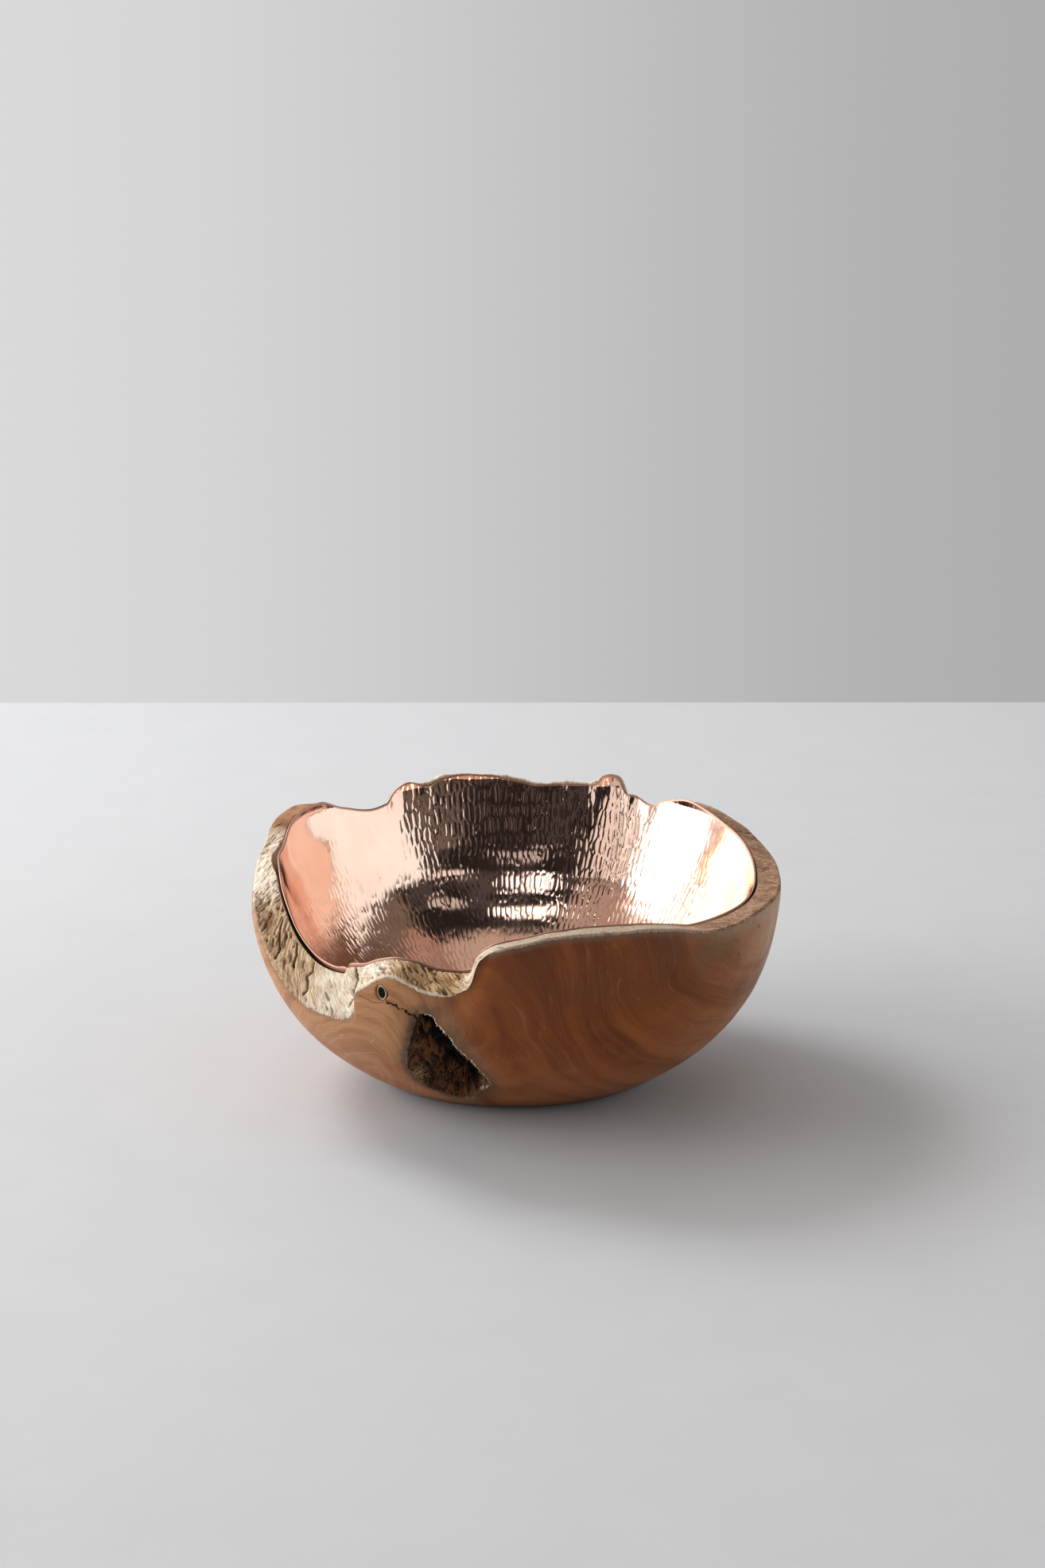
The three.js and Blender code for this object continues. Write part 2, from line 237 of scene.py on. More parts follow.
def turn_at(height):
    climb = (height - FLOOR_HEIGHT) / (MOUTH_HEIGHT - FLOOR_HEIGHT)
    return np.degrees(np.arccos((1 - climb) ** (HOLLOW_POWER / 2)))


def glue_space(turn):
    return SPACE_AT_RIM + (SPACE_AT_FLOOR - SPACE_AT_RIM) * np.cos(np.radians(turn)) ** 2


# ---- Mesh building ----


def grid_normals(points):
    """Outward normals of a grid of points, with its rows up the section and columns round it."""
    round_it = np.roll(points, -1, 1) - np.roll(points, 1, 1)
    up_it = np.gradient(points, axis=0)
    normals = np.cross(round_it, up_it)
    return normals / np.maximum(np.linalg.norm(normals, axis=-1, keepdims=True), 1e-9)


def put_in_scene(name, data):
    made = bpy.data.objects.new(name, data)
    bpy.context.scene.collection.objects.link(made)
    return made


def ring_mesh(name, grid, start, end, attributes):
    """A closed mesh from a grid of points, closed by one point at each end.

    attributes maps a name to an array with one value, or one vector, for each grid point."""
    rows, columns = grid.shape[:2]
    points = np.concatenate([[start], grid.reshape(-1, 3), [end]]) * MM
    index = np.arange(rows * columns).reshape(rows, columns) + 1
    after = np.roll(index, -1, 1)
    quads = np.stack([index[:-1], after[:-1], after[1:], index[1:]], -1).reshape(-1, 4)
    first = np.stack([np.zeros(columns, int), after[0], index[0]], -1)
    last = np.stack([index[-1], after[-1], np.full(columns, len(points) - 1)], -1)
    corners = np.concatenate([quads.ravel(), first.ravel(), last.ravel()])
    sizes = np.concatenate([np.full(len(quads), 4), np.full(2 * columns, 3)])
    starts = np.concatenate([[0], np.cumsum(sizes)[:-1]])

    mesh = bpy.data.meshes.new(name)
    mesh.vertices.add(len(points))
    mesh.vertices.foreach_set("co", points.ravel())
    mesh.loops.add(len(corners))
    mesh.loops.foreach_set("vertex_index", corners)
    mesh.polygons.add(len(sizes))
    mesh.polygons.foreach_set("loop_start", starts)
    mesh.polygons.foreach_set("use_smooth", np.ones(len(sizes), bool))
    mesh.update(calc_edges=True)
    for key, values in attributes.items():
        flat = values.reshape(rows * columns, -1)
        flat = np.concatenate([flat[:1], flat, flat[-1:]]).astype(np.float32)
        kind, field = ("FLOAT", "value") if flat.shape[1] == 1 else ("FLOAT_VECTOR", "vector")
        mesh.attributes.new(key, kind, "POINT").data.foreach_set(field, flat.ravel())
    return put_in_scene(name, mesh)


def stand_in(piece, slot, material, *nodes):
    """The piece rides with the bowl, takes this finish and stands for these CAD nodes."""
    piece.data.materials.append(material)
    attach(piece, "root")
    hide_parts(*nodes)


def distance_to_line(u, v, line):
    """Distance from points to a line through these corners, and which side of it they are on."""
    best = np.full(u.shape, 1e9)
    side = np.ones(u.shape)
    for (u0, v0), (u1, v1) in zip(line[:-1], line[1:]):
        du, dv = u1 - u0, v1 - v0
        share = np.clip(((u - u0) * du + (v - v0) * dv) / (du * du + dv * dv), 0, 1)
        away = np.hypot(u - u0 - share * du, v - v0 - share * dv)
        nearer = away < best
        side = np.where(nearer, np.sign((u - u0) * dv - (v - v0) * du), side)
        best = np.where(nearer, away, best)
    return best, side


def inside_outline(u, v, outline):
    inside = np.zeros(u.shape, bool)
    for (u0, v0), (u1, v1) in zip(outline, np.roll(outline, -1, 0)):
        crosses = (v0 > v) != (v1 > v)
        height = v1 - v0 if v1 != v0 else 1e-9
        inside ^= crosses & (u < (u1 - u0) * (v - v0) / height + u0)
    return inside


# ---- Teak shell ----

COLUMNS = 1080
FINE_STRETCH = (150, 156, 264, 270)
FINENESS = 1.6
WALL_ROWS = 220
RIM_ROWS = 44
INNER_SHARES = [1, 0.985, 0.965, 0.94, 0.9, 0.84, 0.76, 0.64, 0.5, 0.34, 0.18, 0]

# How rough and how pitted the live edge is, by angle: 0 is sanded smooth, 1 is worst.
RAWNESS = round_curve([
    (0, 0.3), (30, 0.3), (50, 0.5), (90, 0.6), (128, 0.5), (138, 0.12), (155, 0.12), (160, 0.6),
    (166, 0.8), (173, 0.55), (182, 0.6), (191, 1), (202, 0.85), (210, 0.5), (228, 0.45),
    (238, 0.6), (247, 0.9), (257, 0.9), (262, 0.4), (268, 0.3), (320, 0.3), (336, 0.35),
])
PITTING = round_curve([
    (0, 0.15), (40, 0.2), (90, 0.5), (130, 0.3), (140, 0), (155, 0), (159, 0.8), (170, 0.7),
    (180, 0.5), (190, 0.9), (203, 0.7), (210, 0.25), (226, 0.2), (236, 0.35), (244, 0.6),
    (256, 0.6), (262, 0.1), (320, 0.1),
])
# Cracks in the live edge: (angle, share of the way in from the outer edge).
RIM_CRACKS = [
    [(213.5, 0.93), (214.5, 0.72), (213.5, 0.55), (215.5, 0.3), (215, 0.15)],
    [(230.3, 0.95), (231.5, 0.7), (230.8, 0.5), (231.8, 0.32), (230.5, 0.2)],
    [(199, 0.8), (201, 0.55), (204, 0.35), (205, 0.12)],
    [(24.5, 1), (25.2, 0.7), (24.6, 0.35), (25.4, 0)],
    [(206, 0.9), (208, 0.7), (209, 0.45)],
]
# The drying crack, from the knot to the root hollow, and a fainter one: (angle, height).
CRACK_LINE = [
    (241.8, 99), (242.6, 96.8), (243.4, 95.6), (244, 93), (245, 91.4), (245.6, 88.2),
    (246.8, 86), (247.4, 82),
]
FAINT_CRACK_LINE = [(235.5, 99.3), (237, 98.2), (238.2, 96.6), (239.6, 96.8), (240.8, 97.4)]
CRACK_DEPTH = 1.8
FAINT_CRACK_DEPTH = 0.5
# The fold in the front of the wall, from the root hollow up to the rim: (angle, height).
FOLD_LINE = [(252, 86), (257.5, 100), (261, 118), (261.8, 135)]
FOLD_DEPTH = 3.4
FOLD_HALF_WIDTH = 7.5
# The root hollow: its depth, its lumps as (angle, height, half sizes across and up, how much
# deeper), and the corner at its top right.
ROT_DEPTH = 12.5
ROT_LUMPS = [
    (246.2, 44, 5, 20, -5.5), (250.5, 34, 3, 13, -4.5), (244.2, 60, 2.6, 15, 3.5),
    (254, 40, 3, 9, -3), (250.8, 77, 4, 8, 3), (257.6, 32, 4, 8, 3), (247.6, 70, 2.2, 9, -2.5),
    (243, 36, 3, 8, 2),
]
SPUR_AT = (252.4, 83)
SOCKET_DEPTH = 4.5
# The front of the wall laid flat: its middle angle, and millimetres for a degree and a height.
MAP_MIDDLE = 249
MAP_ACROSS = 2.35
MAP_UP = 1.15
# The live edge laid flat: millimetres for a degree, and for its width.
RIM_ALONG = 2.5
RIM_WIDTH = 16
# Pits of the live edge, one to a cell: (cell along and across, largest radius as a share of the
# cell, share of cells with a pit where the edge is most pitted, key).
PITS = [(4.6, 6.5, 0.46, 0.6, 1), (2.4, 3.2, 0.44, 0.6, 2)]
# Stretches of it: where it stands above the sheet at the back, and where its outer part is eroded.
ABOVE_SHEET = (56, 68, 112, 124)
ERODED = (181, 188, 200, 208)


def shell_angles():
    steps = np.linspace(0, 360, 3601)
    fine = span(steps, *FINE_STRETCH)
    count = np.concatenate([[0], np.cumsum(1 + FINENESS * fine[:-1])])
    return np.interp(np.arange(COLUMNS) / COLUMNS * count[-1], count, steps)


def soften(points, row, spread, passes):
    """Rounds the corner of the section at a row."""
    low, high = row - spread, row + spread + 1
    for _ in range(passes):
        band = points[low - 1:high + 1].copy()
        points[low:high] = 0.25 * band[:-2] + 0.5 * band[1:-1] + 0.25 * band[2:]


def to_map(angle, height):
    """Flattens the front of the wall to millimetres across and up, near the root hollow."""
    return (np.asarray(angle) - MAP_MIDDLE) * MAP_ACROSS, np.asarray(height) * MAP_UP


def shell_section(angles):
    """The plain form as a grid: foot, wall, rim, hollow; and the first row of each stretch."""
    foot_edge = plan_radius(angles, FOOT_HALF_LENGTH, FOOT_HALF_WIDTH, 2) - FOOT_CHAMFER
    foot = [polar(angles, foot_edge * share, 0) for share in (0.5, 0.9, 0.985, 1)]
    top = rim_outer(angles)
    wall = []
    for share in np.linspace(0, 1, WALL_ROWS):
        spread = 0.55 * share + 0.45 * share**2
        wall.append(outer_point(angles, FOOT_CHAMFER + (top - FOOT_CHAMFER) * spread))
    turns = turn_at(rim_inner(angles))
    inner_edge = hollow_point(angles, turns, 0, splinter_depth(angles))
    rim = []
    for share in np.linspace(0, 1, RIM_ROWS + 2)[1:-1]:
        rim.append(wall[-1] * (1 - share) + inner_edge * share)
    hollow = []
    for share in INNER_SHARES:
        recess = splinter_depth(angles) * max(0, 3 * share - 2)
        hollow.append(hollow_point(angles, share * turns, 0, recess))
    return np.array(foot + wall + rim + hollow), len(foot), len(foot) + WALL_ROWS - 1


def rot_relief(angle, height, points):
    """Depth of the rotted hollow, distance in from its edge, its right side and its crumbs."""
    u, v = to_map(angle, height)
    outline = np.stack(to_map(*np.array(ROT_OUTLINE, float).T), -1)
    ragged = 0.9 * noise(u / 5, v / 5, 0, 3) + 0.4 * noise(u / 1.8, v / 1.8, 0, 4)
    closed = np.vstack([outline, outline[:1]])
    away, _ = distance_to_line(u, v, closed)
    to_left, _ = distance_to_line(u - 1.5, v, closed)
    to_right, _ = distance_to_line(u + 1.5, v, closed)
    pale_side = (to_right - to_left) * np.where(inside_outline(u, v, outline), -1, 1) / 3
    spur = 4.5 * mound(u, v, *to_map(*SPUR_AT), 5, 6.5)
    inside = np.where(inside_outline(u, v, outline), away, -away) + ragged - spur
    right = smooth_step(u + 0.33 * (v - 60), -4, 6)
    steep = 1.3 + 4.2 * (1 - right)
    bowl = 1 - np.exp(-np.maximum(inside, 0) / steep)
    depth = ROT_DEPTH * bowl
    for at_angle, at_height, half_u, half_v, deeper in ROT_LUMPS:
        depth += bowl * deeper * mound(u, v, *to_map(at_angle, at_height), half_u, half_v)
    strings = 1 - 2.5 * np.abs(noise((u + 0.25 * v) / 4.5, v / 15, 0, 5))
    depth -= bowl * (2.6 * strings - 0.6 * noise(u / 1.5, v / 3.5, 0, 6) - 2.6 * noise_at(points, 6, 7))
    low_left = mound(u, v, to_map(240.2, 0)[0], 41, 3.5, 6)
    low_right = mound(u, v, to_map(259.5, 0)[0], 22, 7, 4.5)
    crumble = np.clip(low_left + low_right, 0, 1)
    near = np.exp(-((inside / 4) ** 2))
    depth += crumble * near * (1.2 * noise_at(points, 1.9, 8) + 0.6 * noise_at(points, 0.9, 9))
    # The wall dips softly towards the hollow, more on its right, and along the fold above it.
    dip = np.exp(-((np.minimum(inside, 0) / (6 + 6 * right)) ** 2)) * (0.8 + 4.2 * right)
    depth += np.where(inside < 0, 1, 0.6) * dip
    fold, _ = distance_to_line(u, v, [to_map(*corner) for corner in FOLD_LINE])
    depth += FOLD_DEPTH * np.exp(-((fold / FOLD_HALF_WIDTH) ** 2))
    return depth, inside, pale_side, crumble


def crack_relief(angle, height):
    """Depth of the two cracks, signed distances from each, and 1 near either."""
    u, v = to_map(angle, height)
    jitter = 0.9 * noise(u / 2.6, v / 2.6, 0, 21) + 0.3 * noise(u / 1.1, v / 1.1, 0, 22)
    main, side = distance_to_line(u + jitter, v + jitter, [to_map(*p) for p in CRACK_LINE])
    faint, faint_side = distance_to_line(u + jitter, v, [to_map(*p) for p in FAINT_CRACK_LINE])
    depth = CRACK_DEPTH * np.clip(1 - main / 0.7, 0, 1)
    depth += FAINT_CRACK_DEPTH * np.clip(1 - faint / 0.6, 0, 1)
    near = np.clip(2.2 - np.minimum(main, faint), 0, 1)
    return depth, main * side, faint * faint_side, near


def knot_distance(angle, height):
    """How far out from the knot's socket, as a share of its half size."""
    u, v = to_map(angle, height)
    cu, cv = to_map(*KNOT_AT)
    return np.hypot((u - cu) / (KNOT_HALF_WIDTH + 0.4), (v - cv) / (KNOT_HALF_HEIGHT + 0.5))


def rim_relief(angle, share, width, points):
    """Depth eaten out of the live edge by fibres, pits and cracks; where painted shade goes in its
    pits, cracks and hollows; a flat map.
    """
    along = angle * RIM_ALONG
    across = share * width
    rough = RAWNESS(angle)
    pitted = PITTING(angle)
    slant = along + 0.8 * across
    torn = 1 - 2.2 * np.abs(noise(slant / 3.4, across / 15, 0, 32))
    depth = rough * (1.3 * noise_at(points, 12, 31) - 0.7 * rough * torn)
    depth += rough * (0.45 * noise(slant / 1.5, across / 8, 0, 33) + 0.18 * noise_at(points, 2.2, 36))
    risen = span(angle, *ABOVE_SHEET) * smooth_step(share, 0.4, 0.8)
    above_sheet = risen * (2.4 + 1.2 * noise_at(points, 9, 34))
    eroded = span(angle, *ERODED) * smooth_step(-share, -0.8, -0.5)
    depth += eroded * (1.4 + 0.9 * noise_at(points, 5, 37))
    slant = slant + 1.6 * noise_at(points, 4, 38)
    across = across + 1.6 * noise_at(points, 4, 39)
    pits = np.zeros(angle.shape)
    for size_u, size_v, reach, keep, seed in PITS:
        gu, gv = slant / size_u, across / size_v
        for du, dv in np.ndindex(3, 3):
            cu, cv = np.floor(gu) + du - 1, np.floor(gv) + dv - 1
            radius = reach * (0.5 + 0.5 * chance(cu, cv, seed + 10))
            gone = chance(cu, cv, seed + 20) > keep * pitted
            aside = gu - cu - 0.2 - 0.6 * chance(cu, cv, seed)
            away = np.hypot(aside, gv - cv - 0.2 - 0.6 * chance(cu, cv, seed + 5))
            hole = np.clip(1 - away / radius, 0, 1) ** 0.7
            pits = np.maximum(pits, np.where(gone, 0, hole * min(1, size_u / 4.2)))
    cracks = np.zeros(angle.shape)
    wavy = along + 0.5 * noise(along / 2, across / 2, 0, 35)
    for line in RIM_CRACKS:
        corners = [(a * RIM_ALONG, s * RIM_WIDTH) for a, s in line]
        away, _ = distance_to_line(wavy, share * RIM_WIDTH, corners)
        cracks = np.maximum(cracks, np.clip(1.5 - away / 0.55, 0, 1.3))
    edge = span(share, 0, 0.06, 0.93, 1)
    hollows = np.clip(0.5 * (depth - 0.3), 0, 1) * rough
    relief = (depth + 1.9 * pits * rough + 1.6 * cracks) * (0.35 + 0.65 * edge)
    dark = np.maximum(np.maximum(pits, cracks), hollows)
    return relief - above_sheet, dark, np.stack([slant, across, 0 * slant], -1)


def grain_field(points):
    """Where each point lies across and along the grain, and how deep, in millimetres.

    The rings stand upright on the right, arch over at the front, and lie level on the left."""
    x, y, z = np.moveaxis(points, -1, 0)
    lean = -14 + 0.3 * np.maximum(0, 105 - z)
    away = np.hypot(x - lean, np.maximum(z - 100, 0) / 1.5)
    upright = 60 - away * (0.45 + 0.55 * smooth_step(x, 0, 60))
    level = z - 75 + 0.2 * (x + 60)
    share = smooth_step(x, -88, -26)
    across = upright * share + level * (1 - share)
    across = across + 0.5 * (y + 140) + 6 * noise_at(points, 70, 41) + 2.2 * noise_at(points, 26, 42)
    along = z * share + (x - 0.2 * z) * (1 - share) + 5 * noise_at(points, 50, 43)
    return np.stack([across, along, y], -1)


def teak_shell(material):
    angles = shell_angles()
    grid, wall_row, rim_row = shell_section(angles)
    rows = len(grid)
    inner_row = rim_row + RIM_ROWS + 1
    soften(grid, rim_row, 4, 10)
    soften(grid, inner_row, 2, 2)
    soften(grid, wall_row, 3, 6)
    row = np.arange(rows)[:, None]
    angle = np.broadcast_to(angles, (rows, COLUMNS))
    height = grid[..., 2]
    on_wall = (row <= rim_row) & (row >= wall_row)
    on_rim = (row > rim_row) & (row < inner_row)

    width = np.linalg.norm(grid[inner_row] - grid[rim_row], axis=-1)
    share = np.clip((row - rim_row) / (RIM_ROWS + 1), 0, 1)
    down = np.linalg.norm(grid - grid[rim_row], axis=-1)
    rim_distance = np.where(row <= rim_row, -down, share * width)

    normals = grid_normals(grid)
    rot, rot_inside, rot_right, crumble = rot_relief(angle, height, grid)
    crack, crack_side, faint_side, near_crack = crack_relief(angle, height)
    knot = knot_distance(angle, height)
    socket = SOCKET_DEPTH * smooth_step(-knot, -1.06, -0.94)
    carved = 0.5 * noise_at(grid, 45, 51) + 0.12 * noise_at(grid, 16, 52)
    fade = smooth_step(height, 2, 9)
    depth = on_wall * fade * (carved + rot + crack + socket)
    edge_rot = on_rim * rot * smooth_step(-share, -0.5, 0)
    raw, pits, rim_place = rim_relief(angle, share, width, grid)
    near_edge = np.exp(-((np.minimum(rim_distance, 0) / 2.2) ** 2))
    live = np.where(on_rim, 1, np.where(on_wall, near_edge, 0))
    depth = depth + live * raw + edge_rot
    grid = grid - normals * depth[..., None]
    grid[..., 2] = np.maximum(grid[..., 2], 0)

    attributes = {
        "grain": grain_field(grid),
        "rim_distance": rim_distance,
        "rim_place": rim_place,
        "rot_distance": np.where(row <= rim_row, np.clip(rot_inside, -30, 30), -30),
        "rot_right": rot_right,
        "crumble": crumble,
        "hollowed": np.clip(rot / 12, 0, 1.5),
        "crack": crack_side,
        "faint_crack": faint_side,
        "near_crack": np.where(row <= rim_row, near_crack, 0),
        # Where the live edge gets painted shade, in its pits, cracks and hollows.
        "pits": pits * live,
    }
    piece = ring_mesh("teak_shell", grid, polar(0, 0, 0), polar(0, 0, FLOOR_HEIGHT), attributes)
    stand_in(piece, "teak", material, "teak_bowl")


# ---- Copper sheet ----

SHEET_COLUMNS = 1800
FACE_ROWS = 190
FLOOR_ROWS = 22
BACK_ROWS = 12
COURSE = 9.5
MARK_PITCH = 3.8
MARK_HALF_WIDTH = 3
MARK_HALF_HEIGHT = 7.6
MARK_DEPTH = 0.13
BAND = 18.5
BAND_DEPTH = -0.06
FLOOR_START = 0.04
LIP_RISE = 0.25
# Radius of the hollow at distances down its wall, which sets how many marks a course has.
DOWN_THE_WALL = (0, 60, 120, 170, 215)
RADIUS_THERE = (150, 142, 112, 66, 30)
# Stretches of the sheet, by angle: where the edge is hammered smooth and where the marks are
# deeper or shallower, then where it stands in from the wood.
SMOOTH_LEFT = (120, 150, 208, 232)
SMOOTH_RIGHT = (318, 345, 36, 60)
DEEP_BACK = (64, 78, 114, 128)
DEEP_LEFT = (128, 142, 205, 222)
DEEP_RIGHT = (15, 35, 62, 80)
SHALLOW_BACK = (66, 80, 106, 118)
GAP_LEFT = (158, 168, 228, 240)
GAP_RIGHT = (285, 320, 30, 44)
# The flare: how far the wall is beaten in, and how far down from the edge that is full and ends.
FLARE = 2.4
FLARE_FULL = 26
FLARE_END = 85

# Creases where the sheet is forced round bumps of the live edge:
# (angle, half width in degrees, depth, reach down from the rim), positive outwards.
CREASES = [
    (64.8, 2.0, 0.7, 13), (60.2, 1.1, -0.5, 9), (57.6, 1.1, 0.5, 8), (54.2, 1.5, -0.5, 8),
    (119.2, 1.5, 0.4, 15), (122.2, 1.4, -0.35, 13), (113.5, 1.4, -0.5, 10), (84, 2, -0.5, 8),
    (78, 1.5, 0.5, 7), (71, 1.5, 0.5, 12), (223.5, 1.5, -1.2, 6),
]


def creases(angle, below):
    total = np.zeros(np.broadcast(angle, below).shape)
    for at, half_width, depth, reach in CREASES:
        total += depth * mound(angle, below, at, 0, half_width, reach)
    return total


def set_in(angle, below):
    """How far the edge of the sheet stands in from the wood, where a dark gap shows between them."""
    gap = 0.7 * span(angle, *GAP_LEFT) + 0.35 * span_over_zero(angle, *GAP_RIGHT)
    return gap * np.exp(-((below / 9) ** 2))


def flattened(angles, height):
    """How far the wall is beaten in below its edge, which makes it flare."""
    edge = np.mean([rim_inner(angles + turn) for turn in range(-12, 13, 3)], 0)
    below = np.maximum(0, edge - height)
    rise = np.sin(np.pi / 2 * np.clip(below / FLARE_FULL, 0, 1))
    return FLARE * rise * smooth_step(-below, -FLARE_END, -FLARE_FULL)


def forming(angles, points):
    """How far the sheet is pushed outwards in fitting it to the wood, and distance below the edge."""
    below = np.maximum(0, rim_inner(angles) - points[..., 2])
    angle = np.broadcast_to(angles, below.shape)
    pushed = creases(angle, below) - set_in(angle, below) - flattened(angles, points[..., 2])
    return pushed, below


def wall_degree(down):
    """Millimetres along the wall for a degree round it, at a distance down from the mouth."""
    return np.radians(1) * np.interp(down, DOWN_THE_WALL, RADIUS_THERE)


def hammer_marks(angle, down):
    """Depth of the hammer marks at an angle and a distance down the wall.

    The marks run in level courses; each overlaps the one before it, which leaves crescents."""
    degree = wall_degree(down)
    last = np.full(angle.shape, -1e9)
    depth = np.zeros(angle.shape)
    here = np.floor(down / COURSE)
    for course in (here - 1, here, here + 1):
        middle = (course + 0.5) * COURSE
        marks = np.maximum(np.round(360 * wall_degree(middle) / MARK_PITCH), 6)
        shift = chance(course, 3)
        first = np.floor(angle / 360 * marks + shift)
        for mark in (first - 1, first, first + 1):
            key = np.mod(mark, marks)
            centre = (mark + 0.5 - shift + 0.35 * (chance(key, course, 1) - 0.5)) * 360 / marks
            y = down - middle - 0.28 * COURSE * (chance(key, course, 2) - 0.5)
            x = (angle - centre) * degree + (0.28 * (chance(key, course, 4) - 0.5)) * y
            size = 0.88 + 0.24 * chance(key, course, 5)
            fill = (x / (MARK_HALF_WIDTH * size)) ** 2 + (y / (MARK_HALF_HEIGHT * size)) ** 2
            order = centre + 1.6 * (chance(key, course, 6) - 0.5)
            take = (fill < 1) & (order > last)
            blow = (0.6 + 0.8 * chance(key, course, 7)) * MARK_DEPTH
            depth = np.where(take, blow * (1 - fill), depth)
            last = np.where(take, order, last)
    return depth


def mark_strength(angle, down):
    """How deep the marks are: less near the edge at the sides, none in the middle of the floor."""
    high = smooth_step(-down, -66, -42)
    smooth = np.maximum(span(angle, *SMOOTH_LEFT), 0.9 * span_over_zero(angle, *SMOOTH_RIGHT))
    marked = (1 - 0.82 * high * smooth) * (1 - smooth_step(down, 168, 200))
    low = 0.8 * span(angle, *DEEP_LEFT) + 0.6 * span(angle, *DEEP_RIGHT)
    low = low - 0.25 * span(angle, *SHALLOW_BACK)
    return marked * (0.85 + 0.75 * high * span(angle, *DEEP_BACK) + (1 - high) * low)


def copper_sheet(material):
    angles = np.arange(SHEET_COLUMNS) / SHEET_COLUMNS * 360
    top = turn_at(rim_inner(angles) + COPPER_PROUD)

    def wall(share, depth):
        turn = share * top
        return hollow_point(angles, turn, glue_space(turn) + depth)

    floor_edge = wall(0, SHEET)
    floor_shares = np.linspace(FLOOR_START, 1, FLOOR_ROWS)[:-1]
    floor = [floor_edge * [share, share, 1] for share in floor_shares]
    face = [wall(share, SHEET) for share in np.linspace(0, 1, FACE_ROWS)]
    face = np.array(floor + face)
    back = np.array([wall(share, 0) for share in np.linspace(0, 1, BACK_ROWS) ** 0.7])

    # Distance down the wall from the height of the mouth.
    steps = np.linalg.norm(np.diff(face, axis=0), axis=-1)
    climbed = np.concatenate([np.zeros((1, SHEET_COLUMNS)), np.cumsum(steps, 0)])
    section = hollow_point(45, np.linspace(0, 89, 90), SHEET)
    full = np.linalg.norm(np.diff(section, axis=0), axis=-1).sum()
    floor_radius = np.linalg.norm(floor_edge[:, :2], axis=-1) * (1 - FLOOR_START)
    down = full + floor_radius - climbed
    angle = np.broadcast_to(angles, down.shape)
    x, y = np.cos(np.radians(angle)), np.sin(np.radians(angle))
    wander = 3.2 * noise(x * 4, y * 4, down / 60, 61)
    fraction = np.mod((down + wander) / BAND, 1) * 2 - 1
    uneven = 0.75 + 0.75 * noise(x * 7, y * 7, down / 25, 64)
    dents = hammer_marks(angle, down + wander) + BAND_DEPTH * (1 - fraction**2) * uneven
    swell = 0.35 * noise_at(face, 34, 62) + 0.045 * noise_at(face, 12, 63)
    swell += 0.018 * smooth_step(down, 150, 175) * noise_at(face, 7, 65)
    formed, below = forming(angles, face)
    pushed = mark_strength(angle, down) * dents + swell * smooth_step(below, 0, 6) + formed
    face = face + grid_normals(face) * pushed[..., None]
    back = back + grid_normals(back) * forming(angles, back)[0][..., None]

    lip = (back[-1] + face[-1]) / 2 + np.array([0, 0, LIP_RISE])
    grid = np.concatenate([back, lip[None], face[::-1]])
    back_and_lip = np.ones((BACK_ROWS + 1, SHEET_COLUMNS))
    # Where the edge of the sheet gets painted shade.
    edge = np.concatenate([back_and_lip, np.exp(-((below[::-1] / 0.6) ** 2))])
    underside = FLOOR_HEIGHT + SPACE_AT_FLOOR
    start, end = polar(0, 0, underside), polar(0, 0, underside + SHEET)
    piece = ring_mesh("hammered_copper_sheet", grid, start, end, {"sheet_edge": edge})
    stand_in(piece, "copper", material, "copper_liner")


# ---- Dead knot and glue ----

# The section of the rind, from its back over its rim into its hollow: (share of its half size,
# rise above the wall), and the first row that counts as inside the hollow.
KNOT_SECTION = [
    (1, -KNOT_DEPTH + 0.6), (1, -3), (1, -1.2), (0.97, -0.5), (0.93, -0.25), (0.88, -0.2),
    (0.83, -0.35), (0.79, -0.8), (0.74, -1.6), (0.67, -2.6), (0.54, -3.4), (0.3, -3.9),
]
KNOT_INSIDE_FROM = 7
KNOT_HOLLOW = -4
KNOT_COLUMNS = 96
KNOT_PLAY = (0.1, 0.15)


def wall_frame(angle, height):
    """A point on the outside of the wood, with directions level, up the wall and out of it."""
    here = outer_point(angle, height)
    along = outer_point(angle + 0.5, height) - outer_point(angle - 0.5, height)
    up = outer_point(angle, height + 0.5) - outer_point(angle, height - 0.5)
    out = np.cross(along, up)
    up = up / np.linalg.norm(up)
    out = out / np.linalg.norm(out)
    return here, np.cross(up, out), up, out


def dead_knot(material):
    """A ragged oval rind round a hollow, loose in its socket."""
    here, level, up, out = wall_frame(*KNOT_AT)
    turns = np.linspace(0, 2 * np.pi, KNOT_COLUMNS, endpoint=False)
    x, y = np.cos(turns), np.sin(turns)
    rows = []
    for reach, rise in KNOT_SECTION:
        ragged = 1 + 0.05 * noise(3 * x, 3 * y, rise, 71)
        rows.append(np.stack([
            reach * ragged * (KNOT_HALF_WIDTH - KNOT_PLAY[0]) * x,
            reach * ragged * (KNOT_HALF_HEIGHT - KNOT_PLAY[1]) * y,
            rise + 0.18 * noise(9 * x, 9 * y, reach * 6, 72),
        ], -1))

    def placed(points):
        return here + np.array(points) @ np.stack([level, up, out])

    depths = np.array([-rise for _, rise in KNOT_SECTION])
    depths[:KNOT_INSIDE_FROM] = 0
    attributes = {"knot_depth": np.repeat(depths[:, None], KNOT_COLUMNS, 1)}
    start, end = placed([0, 0, KNOT_SECTION[0][1]]), placed([0, 0, KNOT_HOLLOW])
    piece = ring_mesh("dead_knot_rind", placed(rows), start, end, attributes)
    stand_in(piece, "dead_knot", material, "dead_knot")


def finish_glue(material):
    for name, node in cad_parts.items():
        if name.startswith("adhesive"):
            node.data.materials.clear()
            node.data.materials.append(material)


# ---- Materials ----

